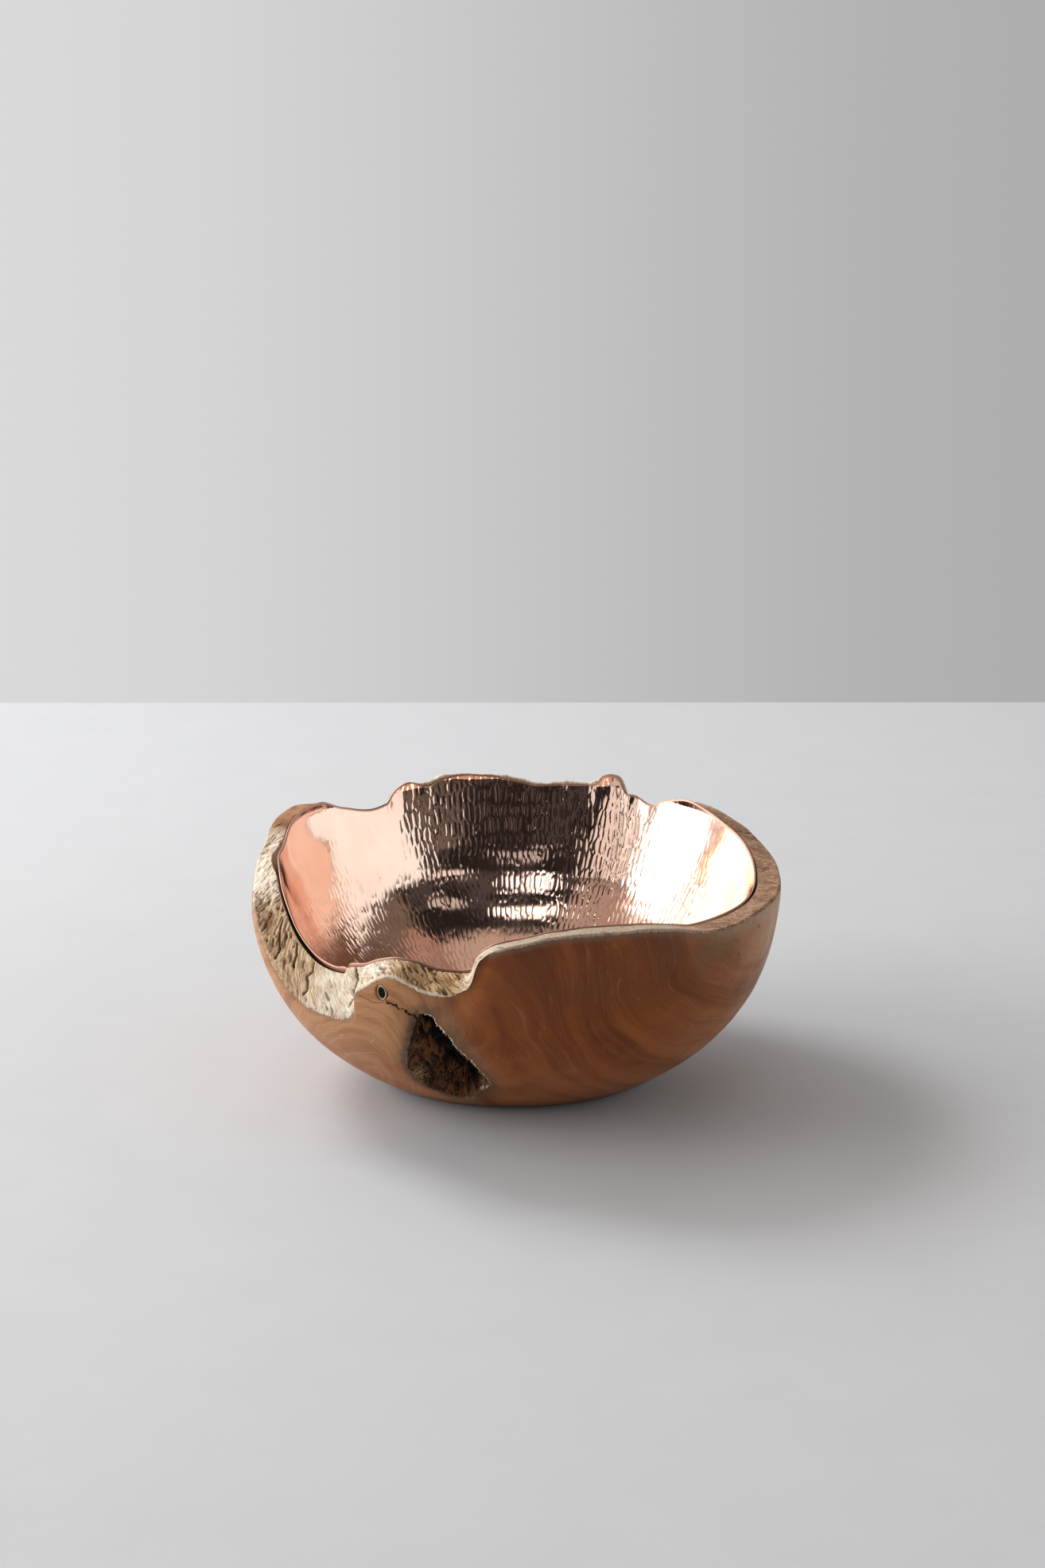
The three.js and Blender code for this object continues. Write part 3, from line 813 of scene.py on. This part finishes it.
# Stretches of the bowl by angle: where each begins, is full, is still full and ends.
LEFT_LOBE = (120, 215, 243, 264)
RIGHT_SIDE = (298, 335, 30, 70)
SHADED_FRONT = (256, 264, 305, 325)
GREY_PATCH = (298, 310, 320, 336)
OCHRE_RIM = (238, 245, 256, 262)
BURNT_RIM = (188, 196, 210, 224)
GREY_RIM = (259, 264, 296, 318)
SANDED_RIM = (128, 136, 157.5, 161)
SAWN_RIM = (296, 318, 34, 48)
BROKEN_RIM = (196, 212, 229, 237)
FRONT_LIP = (234, 238, 262, 266)

# Colours as linear red, green and blue; a pair goes from the low end of a pattern to the high.
TEAK = ((0.145, 0.033, 0.006), (0.33, 0.094, 0.019))
TAN_TEAK = ((0.4, 0.175, 0.072), (0.53, 0.265, 0.12))
CREAM = ((0.55, 0.435, 0.32), (0.77, 0.69, 0.575))
YELLOW = ((0.32, 0.165, 0.07), (0.67, 0.475, 0.275))
GREY_WOOD = ((0.26, 0.175, 0.11), (0.53, 0.42, 0.31))
SAWN = ((0.22, 0.1, 0.05), (0.35, 0.19, 0.105))
SANDED = ((0.27, 0.12, 0.055), (0.42, 0.21, 0.11))
ROTTEN = ((0.012, 0.004, 0.002), (0.19, 0.07, 0.022))
COPPER = ((0.88, 0.585, 0.46), (0.92, 0.645, 0.525))
DEAD_WOOD = ((0.4, 0.3, 0.18), (0.82, 0.72, 0.54))
KNOT_HOLE = ((0.012, 0.01, 0.006), (0.11, 0.085, 0.04))
RESIN = ((0.42, 0.22, 0.06), (0.66, 0.42, 0.16))
FLOOR_GREY = ((0.53, 0.535, 0.545), (0.56, 0.565, 0.575))
SHEEN = "Specular IOR Level"
TEAK_SHEEN = 0.22
FLOOR_SHEEN = 0.2


class Nodes:
    """Short calls that add nodes to one node tree."""

    def __init__(self, tree):
        self.tree = tree

    def put(self, socket, value):
        if isinstance(value, bpy.types.NodeSocket):
            self.tree.links.new(value, socket)
        elif isinstance(value, tuple) and len(value) == 3 and socket.type == "RGBA":
            socket.default_value = (*value, 1)
        else:
            socket.default_value = value

    def new(self, kind, *values, **settings):
        """A node with these settings, and with these values in its first sockets."""
        node = self.tree.nodes.new("ShaderNode" + kind)
        for name, setting in settings.items():
            setattr(node, name, setting)
        for socket, value in zip(node.inputs, values):
            self.put(socket, value)
        return node

    def fill(self, node, values):
        for name, value in values.items():
            self.put(node.inputs[name], value)
        return node

    def math(self, operation, *values):
        return self.new("Math", *values, operation=operation).outputs[0]

    def times(self, first, *others):
        for other in others:
            first = self.math("MULTIPLY", first, other)
        return first

    def most(self, a, b):
        return self.math("MAXIMUM", a, b)

    def scaled(self, value, scale, offset):
        return self.math("MULTIPLY_ADD", value, scale, offset)

    def step(self, value, low, high, out_low=0.0, out_high=1.0):
        """A smooth step from out_low to out_high as the value goes from low to high."""
        ends = (value, low, high, out_low, out_high)
        return self.new("MapRange", *ends, interpolation_type="SMOOTHSTEP").outputs[0]

    def span(self, value, begin, full, still_full, end):
        """1 within a stretch, with a smooth step at each side."""
        return self.times(self.step(value, begin, full), self.step(value, end, still_full))

    def span_over_zero(self, angle, begin, full, still_full, end):
        """The same for a stretch of the bowl that crosses angle 0."""
        return self.most(self.step(angle, begin, full), self.step(angle, end, still_full))

    def mix(self, share, a, b):
        node = self.new("Mix", share, data_type="RGBA")
        self.put(node.inputs[6], a)
        self.put(node.inputs[7], b)
        return node.outputs[2]

    def coats(self, colour, *coats):
        """Lays colours over a colour, each given as (share, colour)."""
        for share, over in coats:
            colour = self.mix(share, colour, over)
        return colour

    def shades(self, pattern, low, high, pair):
        return self.mix(self.step(pattern, low, high), *pair)

    def attribute(self, name, output="Fac"):
        return self.new("Attribute", attribute_name=name).outputs[output]

    def stretch(self, vector, scale):
        return self.new("VectorMath", vector, scale, operation="MULTIPLY").outputs[0]

    def noise(self, vector, scale=1.0, detail=3.0, roughness=0.5, distortion=0.0):
        values = {"Vector": vector, "Scale": scale, "Detail": detail,
                  "Roughness": roughness, "Distortion": distortion}
        return self.fill(self.new("TexNoise"), values).outputs["Fac"]

    def streaks(self, vector, scale, *options):
        """Noise stretched by a different scale along each axis."""
        return self.noise(self.stretch(vector, scale), 1, *options)

    def place(self):
        """Object coordinates in millimetres."""
        return self.stretch(self.new("TexCoord").outputs["Object"], (1000, 1000, 1000))

    def round_place(self, place):
        """Degrees round the bowl and height in millimetres."""
        x, y, z = self.new("SeparateXYZ", place).outputs
        turn = self.times(self.math("ARCTAN2", y, x), math.degrees(1))
        return self.math("FLOORED_MODULO", turn, 360.0), z


class Shader(Nodes):
    """The nodes of one material."""

    def __init__(self, name):
        self.material = bpy.data.materials.new(name)
        self.material.use_nodes = True
        super().__init__(self.material.node_tree)
        self.surface = self.tree.nodes["Principled BSDF"]

    def finish(self, colour, roughness, relief=None, depth=0, **others):
        """Sets the surface; a relief of 1 stands this many millimetres above one of 0."""
        values = {"Base Color": colour, "Roughness": roughness, **others}
        if relief is not None:
            bump = self.fill(self.new("Bump"), {"Distance": depth * MM, "Height": relief})
            values["Normal"] = bump.outputs["Normal"]
        self.fill(self.surface, values)
        return self.material


def finished_teak(shader, grain, place, angle, height):
    """Oiled root wood: bands, rings and pores along the grain. Returns colour and bump height."""
    step, times = shader.step, shader.times
    bands = shader.streaks(grain, (0.062, 0.005, 0.0), 3, 0.55, 0.2)
    rings = shader.streaks(grain, (0.19, 0.008, 0.0), 4, 0.62, 0.3)
    lines = shader.streaks(grain, (2.0, 0.03, 0.02), 2, 0.6)
    pores = shader.streaks(grain, (3.0, 0.14, 0.3), 2, 0.5)
    flow = shader.streaks(grain, (0.09, 0.007, 0.0), 1, 0.4, 0.1)
    specks = shader.streaks(grain, (0.4, 0.13, 0.3), 2, 0.6)
    clouds = shader.noise(place, 0.017, 3, 0.55)
    mottle = shader.noise(place, 0.055, 4, 0.6, 0.4)

    left = shader.span(angle, *LEFT_LOBE)
    right = shader.span_over_zero(angle, *RIGHT_SIDE)
    low = times(step(height, 75, 30), step(bands, 0.35, 0.55, 0.35, 0.8))
    paler = times(right, step(bands, 0.35, 0.62, 0.15, 0.65))
    # Paler wood and a painted sheen, high on the right side.
    pale_and_sheen = times(step(angle, 318, 342), step(height, 84, 118), 0.6)
    # Painted shade under the front lip and along the fold.
    shade = times(shader.span(angle, *SHADED_FRONT), step(height, 70, 112, 0.0, 0.5),
                  step(mottle, 0.35, 0.6, 0.4, 1.0))
    ring_strength = shader.scaled(left, -0.19, 0.24)
    contour = shader.math("PINGPONG", shader.math("ADD", flow, 0.02), 0.035)
    growth_line = times(step(contour, 0.0045, 0.001), step(clouds, 0.46, 0.58),
                        shader.scaled(left, 0.32, 0.09))
    patch = times(shader.span(angle, *GREY_PATCH), step(height, 108, 124),
                  step(mottle, 0.4, 0.58, 0.1, 0.5))
    speck = times(step(specks, 0.65, 0.71), step(mottle, 0.44, 0.55), right, 0.9)
    colour = shader.coats(
        shader.shades(bands, 0.34, 0.66, TEAK),
        (step(clouds, 0.4, 0.62, 0.0, 0.5), (0.21, 0.049, 0.009)),
        (step(mottle, 0.45, 0.7, 0.0, 0.3), (0.35, 0.11, 0.026)),
        # The left lobe is tan, the wood low down orange, and the right side paler, with paler wood and
        # a painted sheen high on the right.
        (times(left, 0.92), shader.shades(rings, 0.36, 0.62, TAN_TEAK)),
        (low, (0.4, 0.118, 0.021)),
        (paler, (0.43, 0.185, 0.08)),
        (pale_and_sheen, (0.56, 0.34, 0.2)),
        # Painted shade: under the front lip, and along the fold above the hollow, the wood is darker.
        (shade, (0.11, 0.03, 0.008)),
        (step(rings, 0.5, 0.34, 0.0, ring_strength), (0.1, 0.026, 0.009)),
        (step(lines, 0.48, 0.36, 0.0, 0.14), (0.08, 0.024, 0.01)),
        (growth_line, (0.66, 0.4, 0.24)),
        (patch, (0.19, 0.12, 0.06)),
        (speck, (0.03, 0.013, 0.007)),
        (step(pores, 0.4, 0.3, 0.0, 0.18), (0.06, 0.02, 0.009)),
        # Painted shade: the wood darkens near the floor, in the bowl's contact shadow.
        (step(height, 16, 3, 0.0, 0.5), (0.07, 0.022, 0.006)),
    )
    return colour, shader.scaled(pores, 0.6, times(lines, 0.4))


def raw_teak(shader, place, angle):
    """The live edge: cream and tan fibres, with painted shade in the pits and cracks, red-brown where
    it was sawn.
    """
    step, times = shader.step, shader.times
    pits = shader.attribute("pits")
    patches = shader.noise(place, 0.09, 4, 0.6)
    fibres = shader.streaks(shader.attribute("rim_place", "Vector"), (0.9, 0.16, 1.0), 4, 0.6, 0.3)
    grit = shader.noise(place, 1.4, 3, 0.7)
    scratches = shader.streaks(place, (0.25, 1.1, 0.25), 3, 0.7, 0.6)
    yellow = shader.shades(fibres, 0.4, 0.62, YELLOW)
    sawn = shader.shades(patches, 0.4, 0.6, SAWN)
    sawn = shader.mix(step(scratches, 0.56, 0.61, 0.0, 0.7), sawn, (0.68, 0.55, 0.42))
    burnt = times(shader.span(angle, *BURNT_RIM), 0.8)
    right = shader.span_over_zero(angle, *SAWN_RIM)
    colour = shader.coats(
        shader.shades(fibres, 0.38, 0.6, CREAM),
        (step(patches, 0.42, 0.6, 0.0, 0.45), yellow),
        (shader.most(shader.span(angle, *OCHRE_RIM), burnt), yellow),
        (times(shader.span(angle, *GREY_RIM), step(angle, 263, 272, 0.4, 1.0)),
         shader.shades(grit, 0.35, 0.6, GREY_WOOD)),
        (right, sawn),
        (shader.span(angle, *SANDED_RIM), shader.shades(patches, 0.4, 0.6, SANDED)),
        # Painted shade in the pits, cracks and hollows of the live edge.
        (times(step(pits, 0.05, 0.75), 0.8), (0.18, 0.09, 0.037)),
        (step(pits, 1.0, 1.2), (0.07, 0.04, 0.02)),
    )
    lines = shader.mix(right, fibres, scratches)
    return colour, shader.scaled(grit, 0.5, times(lines, 0.5))


def rotten_teak(shader, place):
    """The inside of the root hollow: brown strings and crumbs, with painted shade, near black, in the
    depths and a painted highlight where it is shallow.
    """
    step, times = shader.step, shader.times
    lumps = shader.streaks(place, (0.24, 0.24, 0.075), 5, 0.6, 0.7)
    grit = shader.noise(place, 0.8, 4, 0.7)
    deep = shader.attribute("hollowed")
    colour = shader.coats(
        shader.shades(lumps, 0.46, 0.62, ROTTEN),
        # Painted highlight on the shallower, raised parts.
        (times(step(deep, 0.9, 0.65), step(grit, 0.46, 0.6), 0.4), (0.28, 0.13, 0.05)),
        # Painted shade, near black, in the depths.
        (step(deep, 0.95, 1.15), (0.003, 0.002, 0.001)),
        (times(shader.attribute("crumble"), step(grit, 0.44, 0.54)), (0.58, 0.36, 0.19)),
    )
    return colour, grit


def teak_material():
    shader = Shader("teak")
    step, times = shader.step, shader.times
    place = shader.place()
    angle, height = shader.round_place(place)
    grain = shader.attribute("grain", "Vector")
    finished, finished_relief = finished_teak(shader, grain, place, angle, height)
    raw, raw_relief = raw_teak(shader, place, angle)
    rotten, rotten_relief = rotten_teak(shader, place)

    def shifted(value, pattern, scale, offset):
        return shader.math("ADD", value, shader.scaled(pattern, scale, offset))

    wander = shader.noise(place, 0.35, 4, 0.6)
    rim = shifted(shader.attribute("rim_distance"), wander, 3.0, -1.5)
    break_up = shader.scaled(wander, 8.0, -3.2)
    rim = shader.math("ADD", rim, times(shader.span(angle, *BROKEN_RIM), break_up))
    on_rim = step(rim, -1.6, -0.2)
    front_lip = shader.span(angle, *FRONT_LIP)
    stain = times(shader.span(rim, -5.5, -1.2, -1.0, 0.3), step(front_lip, 0.0, 1.0, 0.5, 0.15))
    worn = times(step(angle, 300, 336), step(rim, -11, -1), step(wander, 0.35, 0.6, 0.45, 0.85))
    pale = times(shader.span(rim, -1.3, -0.5, 0.6, 1.6), front_lip, 0.8)
    # Round the hollow, grey-brown painted shade on its left that turns to a painted sheen on its right,
    # a darker painted shade at its left edge, and a painted highlight as a thin pale lip on its right.
    rot = shifted(shader.attribute("rot_distance"), wander, 1.2, -0.6)
    in_rot = step(rot, -0.2, 0.9)
    side = shader.attribute("rot_right")
    near_rot = shader.mix(step(side, -0.2, 0.3), step(rot, -8, -1), step(rot, -17, -2))
    # Painted shade on the left of the hollow, painted sheen on its right.
    hollow_shade_and_sheen = times(near_rot, step(wander, 0.35, 0.6, 0.6, 0.95), 0.72)
    # Painted shade along the left edge of the hollow.
    hollow_left_edge_shade = times(step(rot, -4.5, -0.5), step(side, 0.1, -0.3), 0.75)
    # Painted highlight along the right lip of the hollow.
    hollow_lip_highlight = times(shader.span(rot, -1.0, -0.4, 0.1, 0.5), step(side, 0.1, 0.45))
    chips = shader.noise(place, 0.9, 3, 0.6)
    near_crack = shader.attribute("near_crack")
    crack, faint = [
        shader.math("ABSOLUTE", shifted(shader.attribute(name), chips, 0.5, -0.25))
        for name in ("crack", "faint_crack")
    ]
    colour = shader.coats(
        finished,
        (stain, (0.19, 0.135, 0.1)),
        (worn, (0.42, 0.28, 0.175)),
        (on_rim, raw),
        (pale, (0.78, 0.68, 0.53)),
        (hollow_shade_and_sheen, (0.135, 0.085, 0.05)),
        (hollow_left_edge_shade, (0.07, 0.042, 0.03)),
        (in_rot, rotten),
        (hollow_lip_highlight, (0.9, 0.74, 0.56)),
        # Painted shade, near black, inside the main crack.
        (times(near_crack, step(crack, 0.7, 0.42)), (0.008, 0.005, 0.004)),
        (times(near_crack, step(faint, 0.32, 0.16, 0.0, 0.7)), (0.03, 0.014, 0.008)),
    )
    bare = times(shader.most(on_rim, in_rot), 0.85)
    satin = step(shader.noise(place, 0.06, 3, 0.6), 0.3, 0.7, 0.34, 0.48)
    rough_relief = shader.most(times(on_rim, raw_relief), times(in_rot, rotten_relief))
    relief = shader.scaled(finished_relief, 0.12, rough_relief)
    rough = shader.most(satin, bare)
    return shader.finish(colour, rough, relief, 0.8, **{SHEEN: TEAK_SHEEN})


def copper_material():
    shader = Shader("hammered_copper")
    place = shader.place()
    smears = shader.streaks(place, (0.12, 0.12, 0.03), 4, 0.6)
    fine = shader.streaks(place, (1.6, 1.6, 0.35), 3, 0.6)
    edge = shader.attribute("sheet_edge")
    colour = shader.coats(
        shader.shades(shader.noise(place, 0.02, 3, 0.5), 0.35, 0.65, COPPER),
        (shader.step(smears, 0.56, 0.75, 0.0, 0.35), (0.78, 0.42, 0.3)),
        # Painted shade: the edge of the sheet is darkened to a dark line against the wood.
        (shader.times(edge, 0.85), (0.3, 0.15, 0.1)),
    )
    rough = shader.most(shader.step(smears, 0.3, 0.75, 0.04, 0.11), shader.times(edge, 0.5))
    return shader.finish(colour, rough, fine, 0.01, Metallic=1.0)


def knot_material():
    shader = Shader("dead_knot")
    grit = shader.noise(shader.place(), 1.1, 4, 0.7)
    depth = shader.scaled(grit, 1.2, shader.attribute("knot_depth"))
    hole = shader.shades(grit, 0.45, 0.6, KNOT_HOLE)
    rind = shader.shades(grit, 0.35, 0.62, DEAD_WOOD)
    # Painted shade: the rind goes near black down in its hollow.
    colour = shader.mix(shader.step(depth, 0.75, 1.15), rind, hole)
    return shader.finish(colour, shader.step(grit, 0.3, 0.7, 0.65, 0.9), grit, 0.5)


def glue_material():
    shader = Shader("amber_resin")
    place = shader.place()
    swirl = shader.noise(place, 0.12, 3, 0.6, 0.8)
    bubbles = shader.fill(shader.new("TexVoronoi"), {"Vector": place, "Scale": 0.9}).outputs["Distance"]
    colour = shader.coats(
        shader.shades(swirl, 0.35, 0.65, RESIN),
        (shader.step(bubbles, 0.18, 0.1, 0.0, 0.5), (0.85, 0.7, 0.45)),
    )
    return shader.finish(colour, shader.step(swirl, 0.3, 0.7, 0.2, 0.4), swirl, 0.3)


# ---- Stage ----

CAMERA_AT = (0.0005, -2.160, 0.856)
CAMERA_DOWN = 17.18
CAMERA_RIGHT = 0.11
CAMERA_LENS = 85
CAMERA_SENSOR = 36
FLOOR_BACK = 0.841
FLOOR_REACH = 3.0

# What the copper mirrors: panels of the studio as (least and greatest degrees to the right of
# the camera's side, least and greatest degrees up, softness of the edge, red, green, blue).
PANELS = [
    (-72, -59, -10, 36, 4, 1.5, 1.6, 1.6),
    (-55, -45, -10, 37, 2, 1.15, 1.18, 1.18),
    (-41, -29, -10, 37, 1, 0.9, 0.88, 0.86),
    (-150, -68, -10, 43, 6, 1.0, 1.04, 1.06),
    (-150, -114, -10, 35, 6, 1.5, 1.9, 2.2),
    (-150, -30, 39, 70, 5, 0.42, 0.34, 0.3),
    (35, 122, -10, 35, 3, 1.1, 1.19, 1.21),
    (122, 138, -10, 33, 3, 0.85, 0.85, 0.85),
    (138, 150, -10, 33, 3, 0.27, 0.27, 0.26),
    (66, 150, 37, 52, 3, 0.14, 0.11, 0.08),
    (80, 150, 54, 70, 4, 0.38, 0.25, 0.2),
    (-12, -1, 37, 46, 0.5, 2.2, 2.2, 2.2),
    (-22, 4, 54, 61, 0.5, 2.0, 2.0, 2.0),
    (-6, 0, 25, 29, 0.5, 0.6, 0.6, 0.6),
    (18, 27, 34, 39, 0.5, 1.1, 1.1, 1.1),
    (27, 40, 47, 53, 0.8, 0.65, 0.65, 0.65),
    (14, 29, 4, 24, 2, 0.1, 0.085, 0.07),
]
BACK_PANEL = (0.75, 0.75, 0.75)
BACK_PANEL_TURN = (148, 152)
CEILING = (0.5, 0.41, 0.34)
CEILING_CLIMB = (68, 76)
DIM_ROOM = (0.06, 0.055, 0.055)
DARKEST = (0.02, 0.018, 0.018)
ROOM_LUMPS = 4.5
# Brightness of the wall behind the bowl at the left and at the right, and where it changes.
WALL_LEFT, WALL_RIGHT = 0.70, 0.42
WALL_CHANGE = 0.16
# Lights as (position, aim, size, watts).
LIGHTS = {
    "key": ((-2.55, -0.13, 1.08), (0, 0, 0.25), (1.8, 1.7), 47),
    "high": ((-1.25, 1.15, 1.75), (0, 0, 0.1), (0.9, 0.9), 30),
}


def camera():
    data = bpy.data.cameras.new("camera")
    data.lens = CAMERA_LENS
    data.sensor_width = CAMERA_SENSOR
    made = put_in_scene("camera", data)
    made.location = CAMERA_AT
    made.rotation_euler = (math.radians(90 - CAMERA_DOWN), 0, math.radians(-CAMERA_RIGHT))
    bpy.context.scene.camera = made


def floor():
    mesh = bpy.data.meshes.new("floor")
    near, far, side = -FLOOR_REACH, FLOOR_BACK, FLOOR_REACH
    corners = [(-side, near, 0), (side, near, 0), (side, far, 0), (-side, far, 0)]
    mesh.from_pydata(corners, [], [(0, 1, 2, 3)])
    made = put_in_scene("floor", mesh)
    shader = Shader("pale_floor")
    colour = shader.mix(shader.noise(shader.place(), 0.02, 3, 0.5), *FLOOR_GREY)
    mesh.materials.append(shader.finish(colour, 0.7, **{SHEEN: FLOOR_SHEEN}))


def area_light(name, at, towards, size, power):
    data = bpy.data.lights.new(name, "AREA")
    data.shape = "RECTANGLE"
    data.size, data.size_y = size
    data.energy = power
    made = put_in_scene(name, data)
    made.location = at
    x, y, z = np.array(towards) - np.array(at)
    made.rotation_euler = (math.atan2(math.hypot(x, y), -z), 0, math.atan2(y, x) - math.pi / 2)


def studio():
    """A pale studio, brightest on the left, whose camera side is a dim room."""
    world = bpy.data.worlds.new("studio")
    bpy.context.scene.world = world
    world.use_nodes = True
    world.node_tree.nodes.clear()
    nodes = Nodes(world.node_tree)
    step, times = nodes.step, nodes.times

    def between(value, low, high, soft):
        return nodes.span(value, low - soft, low + soft, high - soft, high + soft)

    def lit(total, share, colour):
        """Adds a colour to the light, where share says how much of it."""
        return nodes.new("VectorMath", share, colour, total, operation="MULTIPLY_ADD").outputs[0]

    place = nodes.new("TexCoord").outputs["Generated"]
    x, y, z = nodes.new("SeparateXYZ", place).outputs
    turn = times(nodes.math("ARCTAN2", x, times(y, -1)), math.degrees(1))
    climb = times(nodes.math("ARCSINE", z), math.degrees(1))
    light = lit(DARKEST, step(nodes.noise(place, ROOM_LUMPS, 2), 0.42, 0.62), DIM_ROOM)
    for low_turn, high_turn, low_climb, high_climb, soft, *colour in PANELS:
        across = between(turn, low_turn, high_turn, soft)
        light = lit(light, times(across, between(climb, low_climb, high_climb, soft)), tuple(colour))
    behind = step(nodes.math("ABSOLUTE", turn), *BACK_PANEL_TURN)
    light = lit(light, times(behind, between(climb, -10, 68, 2)), BACK_PANEL)
    light = lit(light, step(climb, *CEILING_CLIMB), CEILING)
    mirrored = nodes.new("Background", light).outputs[0]
    wall = step(x, -WALL_CHANGE, WALL_CHANGE, WALL_LEFT, WALL_RIGHT)
    seen = nodes.new("Background", (1, 1, 1), wall).outputs[0]
    from_camera = nodes.new("LightPath").outputs["Is Camera Ray"]
    nodes.new("OutputWorld", nodes.new("MixShader", from_camera, mirrored, seen).outputs[0])


# ---- Scene ----

teak_shell(teak_material())
copper_sheet(copper_material())
dead_knot(knot_material())
finish_glue(glue_material())
camera()
floor()
studio()
for light_name, settings in LIGHTS.items():
    area_light(light_name, *settings)
bpy.context.scene.view_settings.view_transform = "Standard"
